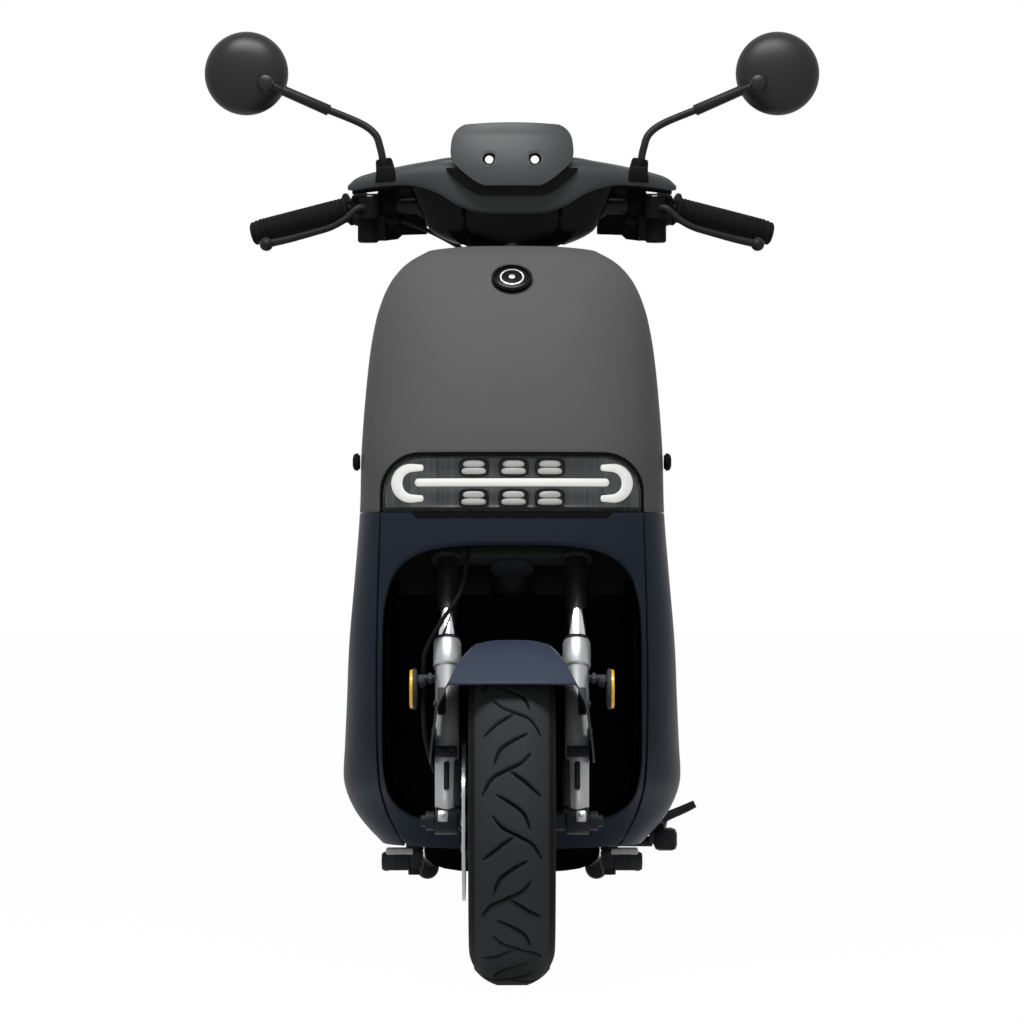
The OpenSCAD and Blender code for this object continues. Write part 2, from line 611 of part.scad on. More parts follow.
module side_panels() {
  zs = [591, 550, 500, 450, 400, 360, 326, 306, 292, 284, 266, 248, 230, 212, 196, 181, 168, 157];
  color("#29303c") fr() both() sheet([for (z = zs) side_row(z)], panel_t);
}
in_tab = [[300, 340], [400, 354], [600, 374], [800, 400], [870, 406], [920, 432]];
module inner_shield() {
  zs = [919, 908, 895, 880, 865, 830, 780, 720, 650, 570, 490, 420, 360, 310];
  p = [for (z = zs) let(w = half_w(z) - 6, y0 = side_y(z) + 4, yi = curve(z, in_tab))
    [for (k = [-8 : 8]) let(s = sin(k * 11.25)) [w * s, mix(yi, y0, pow(abs(s), 3)), z]]];
  color("#27282a") fr() {
    difference() {
      sheet(p, -panel_t);
      plug([-62, 380, 850], 13, 40);
    }
    difference() {
      plug([-62, 396, 850], 17, 16);
      plug([-62, 390, 850], 11 + fit, 40);
    }
  }
}
module key_switch() {
  color("#a9abad") fr() {
    plug([-62, 394, 850], 11, 20);
    box([-63.5, 414, 839], [-60.5, 426, 861]);
    box([-64.5, 426, 836], [-59.5, 444, 864]);
  }
}
module under_tray() {
  n = len(arch);
  zs = [486, 440, 380, 320, 270, 236, 212, 194];
  wall = [[190, 266], [300, 256], [400, 236], [490, 216]];
  open = [[192, 106], [208, 128], [232, 143.6], [258, 153.4], [290, 157.8], [360, 158.6], [490, 153.6]];
  p = [for (z = zs) let(w = curve(z, open), a = skin(w, z)[1] + 25, b = curve(z, wall))
    [for (k = [-6 : 6]) let(s = abs(k) / 6, x = s > 0.85 ? 1 : s > 0.6 ? 0.985
      : s > 0.4 ? 0.9 : s * 1.6, y = s > 0.85 ? a : s > 0.6 ? mix(a, b, 0.7)
      : s > 0.4 ? b - 3 : b) [(k < 0 ? -1 : 1) * w * x, min(a, b) == a ? y : b + 14 * s, z]]];
  belly = [for (y = [272, 300, 360, 450, 560, 660, 700]) [for (k = [-7 : 7])
    let(s = abs(k) / 7, lift = y < 360 ? (360 - y) * 0.45 : y > 600 ? (y - 600) * 0.4 : 0)
    [(y < 290 ? 104 : y < 320 ? 109 : 113) * sin(k * 12.857), y,
      122 + lift + (1 - lift / 80) * 26 * pow(s, 3)]]];
  color("#151516") fr() {
    sheet(p, -3);
    sheet(belly, 3);
    box([-20, 269.4, 166], [20, 277, 200]);
    both() box([90, 500, 126], [100, 512, 173.95]);
    both() box([90, 648, 144], [100, 660, 173.95]);
  }
}
module floorboard() {
  p = [for (y = [342, 400, 480, 560, 640, 690]) [for (k = [-8 : 8]) let(s = abs(k) / 8,
    w = mix(210, 192, (y - 342) / 348)) [w * k / 8, y, floor_z - 5 * pow(s, 6)]]];
  color("#1f2022") fr() {
    sheet(p, 3);
    for (x = [-150 : 50 : 150]) box([x - 6, 420, floor_z], [x + 6, 640, floor_z + 2]);
    both() box([88, 430, 206], [102, 446, floor_z - 3.2]);
    both() box([88, 630, 206], [102, 646, floor_z - 3.2]);
  }
}
module shield_trim() {
  b = skin(0, 891);
  color("#111112") fr() {
    translate(b + (panel_t + 0.5) * [0, -0.743, 0.669]) rotate([48, 0, 0])
      scale([26.5, 24, 1]) cylinder(r = 1, h = 5);
    both() pin([shield_w + 3.8, 190, 657], 11.5, 5.6);
  }
}
// ---- rear body
plan = [[690, 104], [700, 128], [720, 140], [780, 150], [900, 160], [1020, 165], [1140, 163],
  [1260, 151], [1360, 134], [1430, 120], [1465, 78]];
low_t = [[690, 236], [800, 256], [980, 300], [1100, 420], [1250, 520], [1465, 600]];
module rear_panels() {
  half = concat([[0, 688], [55, 688]], [for (q = plan) [q[1], q[0]]]);
  n = len(half);
  full = concat(half, [[0, 1474]], [for (i = [n - 1 : -1 : 1]) [-half[i][0], half[i][1]]]);
  p = [for (u = [0, 0.2, 0.45, 0.7, 0.88, 1, 1.1]) [for (q = full)
    let(zb = curve(q[1], low_t), zt = 712 + max(0, q[1] - 1000) * 0.06,
      f = u > 1 ? 0.9 : 1 - 0.06 * pow(1 - u, 2) - (u > 0.8 ? 0.03 * (u - 0.8) * 5 : 0))
    [q[0] * f, u > 1 ? 1080 + (q[1] - 1080) * 0.97 : (q[1] - 1080) * f + 1080,
      u > 1 ? zt + 3 : mix(zb, zt, u)]]];
  color("#4a4b4c") fr() sheet(p, panel_t, wrap = true);
}
module storage_tub() {
  color("#1b1b1c") fr() difference() {
    box([-76, 748, 616], [76, 1300, 706]);
    box([-73, 751, 619], [73, 1297, 710]);
  }
}
module battery() {
  color("#2f4a38") fr() {
    box([-74, 735, 214], [74, 925, 596]);
    box([-40, 790, 596], [40, 800, 610]);
    box([-40, 860, 596], [40, 870, 610]);
    box([-40, 790, 604], [40, 870, 610]);
  }
}
module seat_cushion() {
  st = [[709, 96, 6], [716, 116, 24], [738, 132, 42], [800, 140, 50], [900, 142, 48],
    [1000, 142, 50], [1100, 140, 62], [1200, 134, 66], [1280, 120, 60], [1318, 100, 44],
    [1332, 82, 16]];
  color("#18181a") fr() loft([for (q = st) let(zb = 721, h = q[2] * (seat_z - zb) / 61)
    [for (k = [0 : 15]) let(a = -k * 22.5, c = cos(a), s = sin(a))
      [q[1] * sign(c) * pow(abs(c), 0.6), q[0],
      zb + h * (s > 0 ? 0.35 + 0.65 * pow(s, 0.8) : 0.35 + 0.35 * sign(s) * pow(abs(s), 0.4))]]]);
}
module seat_base() {
  color("#141415") fr() difference() {
    union() {
      box([-90, 709, 715], [90, 1310, 720.6]);
      both() {
        box([30, 708, 715.7], [50, 709.2, 720.6]);
        box([30, 700, 715.7], [50, 708.9, 728]);
        pin([40, 700, 722], 6.3, 20);
      }
    }
    pin([0, 700, 722], 3 + fit, 160);
  }
}
module grab_rail() {
  color("#1b1b1d") fr() difference() {
    union() {
      both() {
        translate([96, 1345, 640]) cylinder(r = 9, h = 102);
        bent([[96, 1345, 738], [96, 1347, 752], [95, 1360, 765], [90, 1384, 771], [82, 1440, 773],
          [70, 1474, 773], [44, 1496, 773], [-0.5, 1504, 773]], 10, 2, 30);
      }
      box([-86, 1388, 765], [86, 1478, 772]);
    }
    for (x = [-1, 1], y = [-1, 1]) translate([x * carrier_x / 2, 1433 + y * carrier_y / 2, 750])
      cylinder(r = 3.3, h = 40);
    both() rod([95, 1010, 560], [95, wb + 130, 640], 16);
  }
}
module rear_lights() {
  color("#8c1a18") fr() {
    box([-54, 1471.3, 642], [54, 1492, 690]);
    both() {
      rod([124.4, 1400, 655], [138, 1404, 652], 5);
      translate([147, 1405, 651]) sphere(r = 17);
    }
  }
}
module rear_fender() {
  yb = wb + reach;
  color("#17181a") fr() difference() {
    union() {
      sheet([for (u = [0 : 0.2 : 1]) [for (k = [-4 : 4])
        [mix(72, 60, u) * k / 4, mix(1380, yb - 14, u) + 10 * (1 - abs(k) / 4) * sin(u * 180),
        mix(606, 330, pow(u, 1.5)) - 14 * pow(abs(k) / 4, 2)]]], 3);
      box([-plate_gap / 2 - 15, yb - 6, 380], [plate_gap / 2 + 15, yb, 450]);
      box([-14, yb - 60, 400], [14, yb - 5, 414]);
      box([-20, wb + 122, 576], [20, wb + 138, 627.4]);
    }
    both() plug([plate_gap / 2, yb - 30, 415], 3.2, 60);
  }
}
// ---- frame
module frame() {
  color("#1a1b1d") {
    difference() {
      union() {
        steer() translate([0, st_y, 396]) cylinder(r = 28, h = 164);
        fr() rod([0, 240, 610], [0, 332, 196], 27);
      }
      steer() translate([0, st_y, 390]) cylinder(r = 23, h = 180);
    }
    fr() {
      both() {
        pipe([[0, 322, 192], [95, 330, 190], [95, 960, 190], [95, 1010, 560],
          [95, wb + 130, 640]], 16);
        pin([96, 1000, 250], 23, 26);
        box([86, 905, 140], [104, 945, 190]);
        pin([112, wb - 90, 596], 6, 36);
      }
      rod([-95, 700, 190], [95, 700, 190], 12);
      rod([-95, 1010, 560], [95, 1010, 560], 12);
      rod([-95, wb + 130, 640], [95, wb + 130, 640], 12);
      pin([0, 925, 160], 8, 260);
      pin([0, 1000, 250], 8, 212);
      both() {
        rod([95, 560, 184], [130, 560, 145], 8);
        translate([132, 560, 137]) cylinder(r = 12, h = 12);
        translate([132, 560, 106]) cylinder(r = 5, h = 38);
        translate([132, 560, 104]) cylinder(r = 9, h = 8.6);
        rod([95, 735, 206], [70, 735, 206], 6);
        rod([95, 727, 200], [60, 712, 706], 7);
        box([55, 703.8, 696], [61, 708.4, 724]);
        box([55, 699, 718.5], [61, 708.4, 724]);
      }
      rod([95, 470, 178], [132, 470, 154], 8);
      rod([128, 470, 154], [188, 470, 154], 7);
      pin([187.8, 470, 163], 13, 8);
      pin([196, 470, 165], 7, 20);
      rod([-64, 700, 722], [64, 700, 722], 3);
    }
  }
}
module head_bearings() {
  color("#8d8f92") steer() {
    translate([0, st_y, 397]) ring(23, stem_r + fit, 14);
    translate([0, st_y, 545]) ring(23, stem_r + fit, 14);
  }
}
// ---- rear suspension
module swingarm() {
  color("#222326") fr() difference() {
    union() {
      pin([0, 1000, 250], 18, 160);
      both() {
        bent([[65.5, 1001, 250], [65.5, 1030, 248], [92, 1070, 243.5], [92, 1160, 230],
          [92, wb - 16, r_r + 3]], 14.6, 1, 36);
        pin([92, wb, r_r], 26, 14);
        box([85, wb - 26, r_r], [99, wb - 4, 262]);
        pin([92, wb - 18, 262], 14, 14);
        pin([112, wb - 18, 262], 6, 40);
      }
      rod([-74, 1042, 246], [74, 1042, 246], 12);
      box([-99, wb - 94, 200], [-77.2, wb - 60, 250]);
    }
    pin([0, 1000, 250], 8 + fit, 200);
    pin([0, wb, r_r], ax_r, 300);
  }
}
module rear_axle() {
  color("#9a9c9f") translate([0, y_f + wb, r_r]) {
    pin([0, 0, 0], ax_r, 224);
    both() pin([105, 0, 0], 12, 12);
    both() pin([75.5, 0, 0], 12, 17);
  }
}
module rear_caliper() {
  color("#1c1d1f") fr() difference() {
    box([-77.2, wb - 112, 216], [-60, wb - 64, 262]);
    pin([-68, wb, r_r], 93, 7);
    pin([-64, wb, r_r], 64, 60);
  }
}
sh_a = [118, wb - 90, 596];
sh_b = [118, wb - 18, 262];
sh_v = (sh_b - sh_a) / norm(sh_b - sh_a);
sh_l = norm(sh_b - sh_a);
module shock(a, b, r) {
  rod(sh_a + a * sh_v, sh_a + b * sh_v, r);
}
module shock_bodies() {
  color("#26272a") fr() both() difference() {
    union() {
      pin(sh_a, 13, 12);
      shock(8, 22, 9);
      shock(20, 30, 25);
      shock(28, 190, 14);
    }
    pin(sh_a, 6 + fit, 60);
    shock(38, 200, 5 + fit);
  }
}
module shock_rods() {
  color("#c4c6c8") fr() both() difference() {
    union() {
      pin(sh_b, 13, 12);
      shock(100, sh_l - 10, 5);
      shock(sh_l - 34, sh_l - 26, 25);
      shock(sh_l - 26, sh_l - 8, 9);
    }
    pin(sh_b + [0, 0.6, 0.13], 6.9, 60);
  }
}
module shock_springs() {
  turns = 8;
  h = sh_l - 34 - 30 - 8;
  p = [for (k = [0 : 12 * turns]) let(a = k * 30) [19.5 * cos(a), 19.5 * sin(a), k * h / (12 * turns)]];
  color("#b3b5b8") fr() both() translate(sh_a + 34 * sh_v)
    rotate([0, acos(sh_v[2]), atan2(sh_v[1], sh_v[0])])
    loft([for (i = [0 : len(p) - 1]) let(a = i * 30, e = [cos(a), sin(a), 0])
      [for (b = [0 : 60 : 300]) p[i] + 3.4 * (cos(b) * e - sin(b) * [0, 0, 1])]]);
}
// ---- stands and pegs
module side_stand() {
  color("#28292b") fr() {
    difference() {
      pin([198, 470, 165], 14, 12);
      pin([198, 470, 165], 7 + fit, 40);
    }
    bent([[199.6, 479, 164], [200, 510, 160], [201.5, 560, 162], [204, 592, 170], [207, 612, 180]],
      7, 2, 36, [1, 0.1, 0]);
    translate([201, 590, 172]) rotate([0, -38, 0]) cube([46, 30, 6]);
  }
}
module centre_stand() {
  color("#161514") fr() {
    both() {
      difference() {
        pin([118, 925, 160], 14, 20);
        pin([118, 925, 160], 8 + fit, 60);
      }
      bent([[118, 936, 155], [118, 962, 141], [118, 1010, 110], [118, 1062, 86]],
        9, 2, 36, [1, 0.1, 0]);
      rod([118, 1046, 84], [118, 1094, 82], 12);
    }
    rod([-118, 990, 122], [118, 990, 122], 7);
  }
}
module peg() {
  difference() {
    translate([132, 560, 113]) cylinder(r = 12, h = 23.6);
    translate([132, 560, 100]) cylinder(r = 5 + fit, h = 60);
  }
  box([142, 550, 113], [168, 570, 136]);
  difference() {
    pin([169, 560, 124], 12, 8);
    pin([169, 560, 124], 4, 20);
  }
}
module peg_left() {
  color("#555759") fr() peg();
}
module peg_right() {
  color("#555759") mirror([1, 0, 0]) fr() peg();
}

frame();
head_bearings();
front_shield();
front_cowl();
side_panels();
inner_shield();
under_tray();
floorboard();
headlight_unit();
headlight_lens();
shield_trim();
rear_panels();
grab_rail();
rear_lights();
rear_fender();
storage_tub();
battery();
seat_cushion();
seat_base();
key_switch();
steering_stem();
handlebar();
handlebar_cover();
handlebar_skirt();
flyscreen();
dash_display();
left_grip();
switch_housings();
brake_hose();
throttle_grip();
brake_lever_left();
brake_lever_right();
turn_switch();
horn_button();
mirror_arm_left();
mirror_arm_right();
mirror_head_left();
mirror_head_right();
fork_lowers();
front_axle();
front_fender();
front_caliper();
side_reflectors();
front_tyre();
front_rim();
front_disc();
swingarm();
rear_tyre();
hub_motor();
rear_disc();
rear_caliper();
rear_axle();
shock_bodies();
shock_rods();
shock_springs();
side_stand();
centre_stand();
peg_left();
peg_right();
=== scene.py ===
"""Moped scooter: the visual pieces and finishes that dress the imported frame."""
import sys
import logging
from dataclasses import dataclass, field
from enum import Enum
from math import acos, atan2, copysign, cos, exp, pi, radians, sin, sqrt, tan, tau
from typing import Callable, Iterable, Optional, Sequence

import bmesh
import bpy
import numpy as np
from mathutils import Matrix, Vector


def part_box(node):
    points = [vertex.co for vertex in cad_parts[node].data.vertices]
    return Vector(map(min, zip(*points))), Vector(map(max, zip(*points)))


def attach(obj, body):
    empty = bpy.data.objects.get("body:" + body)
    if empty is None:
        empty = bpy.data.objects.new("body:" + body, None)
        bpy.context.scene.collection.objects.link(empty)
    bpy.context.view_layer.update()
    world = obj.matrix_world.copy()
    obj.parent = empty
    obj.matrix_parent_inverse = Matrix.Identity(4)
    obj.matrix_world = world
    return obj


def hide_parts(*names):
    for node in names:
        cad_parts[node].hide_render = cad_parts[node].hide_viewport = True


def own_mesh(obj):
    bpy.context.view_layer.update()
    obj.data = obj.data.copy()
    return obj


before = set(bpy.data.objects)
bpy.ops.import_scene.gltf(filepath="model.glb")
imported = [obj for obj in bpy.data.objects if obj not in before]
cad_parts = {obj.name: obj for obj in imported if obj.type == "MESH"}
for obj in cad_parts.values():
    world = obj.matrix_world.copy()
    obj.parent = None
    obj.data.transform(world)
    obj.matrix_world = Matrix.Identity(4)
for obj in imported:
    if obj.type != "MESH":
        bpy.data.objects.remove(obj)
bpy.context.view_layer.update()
LOG = logging.getLogger("scooter")

Mesh = bmesh.types.BMesh
Numbers = Sequence[float]
Shape = Callable[[float, float], Numbers]
Pairs = tuple[tuple[float, float], ...]
Colour = tuple[int, int, int]


# ---- datums
def _middle(node: str) -> Vector:
    """Middle of a CAD node's box, in millimetres."""
    low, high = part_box(node)
    return (low + high) * 500


FRONT_AXLE = _middle("front_axle")
REAR_AXLE = _middle("rear_axle")
WHEELBASE = REAR_AXLE.y - FRONT_AXLE.y
RAKE = radians(26)
BAR_IN = Vector((215, 430, 999))
BAR_OUT = Vector((348, 460, 967))


def _bar_matrix() -> Matrix:
    """Frame of the left grip: Z runs outward along it from its inner end."""
    way = BAR_OUT - BAR_IN
    lean = acos(way.z / way.length)
    turn = atan2(way.y, way.x)
    return (Matrix.Translation(BAR_IN) @ Matrix.Rotation(turn, 4, "Z")
            @ Matrix.Rotation(lean, 4, "Y"))


_MM = Matrix.Scale(0.001, 4)
_FLIP = Matrix.Scale(-1, 4, (1, 0, 0))
_BODY = _MM @ Matrix.Translation((0, FRONT_AXLE.y, 0))


class Place(Enum):
    """Frames, in millimetres, that the pieces are modelled in."""

    BODY = _BODY
    BODY_FLIPPED = _BODY @ _FLIP
    FORK = (_MM @ Matrix.Translation((0, FRONT_AXLE.y, FRONT_AXLE.z))
            @ Matrix.Rotation(-RAKE, 4, "X"))
    FRONT_HUB = _MM @ Matrix.Translation((0, FRONT_AXLE.y, FRONT_AXLE.z))
    REAR_HUB = _MM @ Matrix.Translation((0, REAR_AXLE.y, REAR_AXLE.z))
    LEFT_BAR = _BODY @ _bar_matrix()
    RIGHT_BAR = _BODY @ _FLIP @ _bar_matrix()


# ---- curves
@dataclass(frozen=True)
class Table:
    """Smooth curve through pairs of key and value."""

    rows: Pairs

    def __call__(self, key: float) -> float:
        """Value at a key, held at both ends."""
        rows = self.rows
        last = len(rows) - 1
        i = 0
        while i < last - 1 and key > rows[i + 1][0]:
            i += 1

        def slope(k: int) -> float:
            """Slope at one row."""
            a, b = max(0, k - 1), min(last, k + 1)
            return (rows[b][1] - rows[a][1]) / (rows[b][0] - rows[a][0])

        step = rows[i + 1][0] - rows[i][0]
        u = max(0.0, min(1.0, (key - rows[i][0]) / step))
        a, b = slope(i) * step, slope(i + 1) * step
        p, q = rows[i][1], rows[i + 1][1]
        return p + u * (a + u * (3 * (q - p) - 2 * a - b + u * (a + b - 2 * (q - p))))


def mix(a: float, b: float, u: float) -> float:
    """Value between a and b."""
    return a + (b - a) * u


def spline(points: Sequence[Numbers], steps: int, closed: bool = False) -> list[Vector]:
    """Points of a smooth path through the given ones.

    Args:
        points: the points that the path passes through.
        steps: how many pieces each span is cut into.
        closed: whether the path returns to its start.

    Returns:
        The path's points.
    """
    pts = [Vector(p) for p in points]
    n = len(pts)
    out = []
    for i in range(n if closed else n - 1):
        if closed:
            a, b, c, d = (pts[(i + k) % n] for k in (-1, 0, 1, 2))
        else:
            a, b, c, d = pts[max(0, i - 1)], pts[i], pts[i + 1], pts[min(n - 1, i + 2)]
        for k in range(steps):
            u = k / steps
            out.append(0.5 * (2 * b + u * (c - a + u * (2 * a - 5 * b + 4 * c - d
                                                        + u * (3 * b - a - 3 * c + d)))))
    if not closed:
        out.append(pts[-1].copy())
    return out


def along(points: Sequence[Vector], u: float) -> Vector:
    """Point at a share of a list of points, counted by its places."""
    at = max(0.0, min(1.0, u)) * (len(points) - 1)
    i = min(int(at), len(points) - 2)
    return points[i].lerp(points[i + 1], at - i)


# ---- meshes
def woven(shape: Shape, across: int, down: int, face: Optional[Numbers] = None,
          keep: Optional[Callable[[float, float], bool]] = None) -> Mesh:
    """A grid whose points are put in place by a function.

    Args:
        shape: gives a point from two shares, 0 to 1.
        across: faces along the first share.
        down: faces along the second share.
        face: direction that the sheet's faces point to on the whole.
        keep: tells from a face's middle shares whether it stays.

    Returns:
        The mesh, welded where edges meet.
    """
    bm = bmesh.new()
    bmesh.ops.create_grid(bm, x_segments=across, y_segments=down, size=0.5)
    if keep:
        middles = ((f, f.calc_center_median()) for f in bm.faces)
        gone = [f for f, mid in middles if not keep(mid.x + 0.5, mid.y + 0.5)]
        bmesh.ops.delete(bm, geom=gone, context="FACES")
    for v in bm.verts:
        v.co = Vector(shape(v.co.x + 0.5, v.co.y + 0.5))
    bmesh.ops.remove_doubles(bm, verts=bm.verts, dist=0.001)
    bmesh.ops.recalc_face_normals(bm, faces=bm.faces)
    if face:
        bm.normal_update()
        total = sum((f.normal * f.calc_area() for f in bm.faces), Vector())
        if total.dot(Vector(face)) < 0:
            bmesh.ops.reverse_faces(bm, faces=bm.faces)
    return bm


def closed(bm: Mesh) -> Mesh:
    """Fills open ends and turns the faces outward."""
    bmesh.ops.holes_fill(bm, edges=[e for e in bm.edges if e.is_boundary], sides=0)
    bmesh.ops.recalc_face_normals(bm, faces=bm.faces)
    return bm


def rounded(bm: Mesh, radius: float, angle: float = 40, segments: int = 2) -> Mesh:
    """Rounds every edge sharper than an angle."""
    bm.normal_update()
    limit = radians(angle)
    sharp = [e for e in bm.edges if len(e.link_faces) == 2 and e.calc_face_angle(0) > limit]
    bmesh.ops.bevel(bm, geom=sharp, offset=radius, offset_type="OFFSET", segments=segments,
                    profile=0.5, affect="EDGES", material=-1, clamp_overlap=True)
    return bm


def walled(bm: Mesh, thickness: float, edge: float = 0.5) -> Mesh:
    """Gives a sheet a wall behind its faces, with rounded rims."""
    bmesh.ops.solidify(bm, geom=bm.faces, thickness=thickness)
    if edge:
        rounded(bm, edge, 60)
    return bm


def tube(points: Sequence[Numbers], radius: float | Callable[[float], float],
         sides: int = 20, steps: int = 6, flat: float = 1.0) -> Mesh:
    """A round bar along a smooth path.

    Args:
        points: the path's points.
        radius: radius, or a function of the share of the way along.
        sides: faces around the bar.
        steps: pieces in each span of the path.
        flat: height of the section over its width.

    Returns:
        The closed bar.
    """
    path = spline(points, steps)
    last = len(path) - 1
    frames = []
    side = None
    for i, p in enumerate(path):
        way = (path[min(last, i + 1)] - path[max(0, i - 1)]).normalized()
        if side is None:
            start = Vector((0, 0, 1)) if abs(way.z) < 0.9 else Vector((0, 1, 0))
            side = way.cross(start).normalized()
        side = (side - way * side.dot(way)).normalized()
        frames.append((p, side.copy(), way.cross(side)))

    def shape(u: float, v: float) -> Vector:
        """Point on the bar."""
        p, a, b = frames[round(u * last)]
        r = radius(u) if callable(radius) else radius
        turn = v * tau
        return p + a * (r * cos(turn)) + b * (r * flat * sin(turn))

    return closed(woven(shape, last, sides))


def turned(profile: Sequence[Numbers], sides: int = 48,
           axis: Numbers = (0, 0, 1), at: Numbers = (0, 0, 0)) -> Mesh:
    """A lathe-turned solid.

    Args:
        profile: pairs of radius and height along the axis.
        sides: faces around.
        axis: direction of the axis.
        at: where the axis starts.

    Returns:
        The closed solid or ring.
    """
    bm = bmesh.new()
    verts = [bm.verts.new((max(0.0, r), 0, h)) for r, h in profile]
    for a, b in zip(verts, verts[1:]):
        bm.edges.new((a, b))
    ring = profile[0][0] > 0.01 and profile[-1][0] > 0.01
    if ring and (Vector(profile[0][:2]) - Vector(profile[-1][:2])).length > 0.01:
        bm.edges.new((verts[-1], verts[0]))
    bmesh.ops.spin(bm, geom=bm.verts[:] + bm.edges[:], cent=(0, 0, 0), axis=(0, 0, 1),
                   dvec=(0, 0, 0), angle=tau, steps=sides, use_merge=True)
    bmesh.ops.remove_doubles(bm, verts=bm.verts, dist=0.001)
    bmesh.ops.recalc_face_normals(bm, faces=bm.faces)
    turn = Vector((0, 0, 1)).rotation_difference(Vector(axis)).to_matrix().to_4x4()
    bm.transform(Matrix.Translation(at) @ turn)
    return bm


def block(low: Numbers, high: Numbers, edge: float = 1.0,
          turn: Optional[Matrix] = None, segments: int = 2) -> Mesh:
    """A box between two corners with rounded edges."""
    low, high = Vector(low), Vector(high)
    bm = bmesh.new()
    bmesh.ops.create_cube(bm, size=1.0)
    for v in bm.verts:
        v.co = Vector([mix(low[k], high[k], v.co[k] + 0.5) for k in range(3)])
    if edge:
        bmesh.ops.bevel(bm, geom=bm.edges[:], offset=edge, offset_type="OFFSET",
                        segments=segments, profile=0.5, affect="EDGES", material=-1,
                        clamp_overlap=True)
    if turn:
        bm.transform(turn)
    return bm


def plate(outline: Sequence[Numbers], low: float, high: float, axis: str = "Y",
          edge: float = 0.6) -> Mesh:
    """A flat outline made a plate between two levels of an axis, with rounded edges."""
    bm = bmesh.new()
    put = {"X": lambda a, b: (low, a, b), "Y": lambda a, b: (a, low, b),
           "Z": lambda a, b: (a, b, low)}[axis]
    face = bm.faces.new([bm.verts.new(put(a, b)) for a, b in outline])
    moved = bmesh.ops.extrude_face_region(bm, geom=[face])
    shift = {"X": (1, 0, 0), "Y": (0, 1, 0), "Z": (0, 0, 1)}[axis]
    bmesh.ops.translate(bm, verts=[g for g in moved["geom"] if isinstance(g, bmesh.types.BMVert)],
                        vec=Vector(shift) * (high - low))
    bmesh.ops.recalc_face_normals(bm, faces=bm.faces)
    return rounded(bm, edge, 50) if edge else bm


def rod(a: Numbers, b: Numbers, r: float, r2: Optional[float] = None,
        sides: int = 32, edge: float = 0.6) -> Mesh:
    """A round bar between two points with rounded ends."""
    a, b = Vector(a), Vector(b)
    long, r2 = (b - a).length, r if r2 is None else r2
    e = min(edge, r * 0.4, r2 * 0.4, long * 0.3)
    profile = ((0, 0), (r - e, 0), (r - e * 0.3, e * 0.3), (r, e), (r2, long - e),
               (r2 - e * 0.3, long - e * 0.3), (r2 - e, long), (0, long))
    return turned(profile, sides, b - a, a)


def joined(parts: Iterable[Mesh]) -> Mesh:
    """Several meshes as one."""
    out = bmesh.new()
    for part in parts:
        mesh = bpy.data.meshes.new("part")
        part.to_mesh(mesh)
        part.free()
        out.from_mesh(mesh)
        bpy.data.meshes.remove(mesh)
    return out


def moved(bm: Mesh, matrix: Matrix) -> Mesh:
    """The mesh carried by a matrix."""
    bm.transform(matrix)
    return bm


def copies(bm: Mesh, matrices: Iterable[Matrix]) -> Mesh:
    """One mesh repeated at several places."""
    return joined([moved(bm.copy(), m) for m in matrices])


def both(bm: Mesh) -> Mesh:
    """A mesh with its mirror image across the middle of the scooter."""
    other = bm.copy()
    other.transform(_FLIP)
    bmesh.ops.reverse_faces(other, faces=other.faces)
    return joined([bm, other])


def emit(name: str, bm: Mesh, body: str, finish: "Finish", slot: str,
         place: Place = Place.BODY, smooth: float = 38) -> bpy.types.Object:
    """Makes a finished piece of a mesh.

    Args:
        name: the piece's name.
        bm: its mesh, in the frame's millimetres.
        body: the CAD body that it rides on.
        finish: what it is made of.
        slot: not used.
        place: the frame of the mesh.
        smooth: angle in degrees up to which edges are shaded smooth.

    Returns:
        The piece.
    """
    bm.transform(place.value)
    if place.value.determinant() < 0:
        bmesh.ops.reverse_faces(bm, faces=bm.faces)
    for f in bm.faces:
        f.smooth = True
    mesh = bpy.data.meshes.new(name)
    bm.to_mesh(mesh)
    bm.free()
    mesh.set_sharp_from_angle(angle=radians(smooth))
    obj = bpy.data.objects.new(name, mesh)
    bpy.context.scene.collection.objects.link(obj)
    mesh.materials.append(finish.material())
    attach(obj, body)
    LOG.info("%s: %d faces on %s", name, len(mesh.polygons), body)
    return obj


def shell(name: str, bm: Mesh, body: str, finish: "Finish", slot: str,
          place: Place = Place.BODY, smooth: float = 38) -> bpy.types.Object:
    """Makes a piece, as emit does, that stands for the CAD node its slot is named after."""
    obj = emit(name, bm, body, finish, slot, place, smooth)
    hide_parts(slot)
    return obj


# ---- finishes
def linear(colour: Colour) -> tuple[float, float, float, float]:
    """A display colour as the renderer's linear one."""
    def one(c: float) -> float:
        """One channel."""
        c /= 255
        return c / 12.92 if c <= 0.04045 else ((c + 0.055) / 1.055) ** 2.4
    return (one(colour[0]), one(colour[1]), one(colour[2]), 1.0)


class Kind(Enum):
    """Ways that a surface answers light."""

    SOLID = "solid"
    LEATHER = "leather"
    RUBBER = "rubber"
    PRISM = "prism"
    BRUSHED = "brushed"
    STREAKED = "streaked"


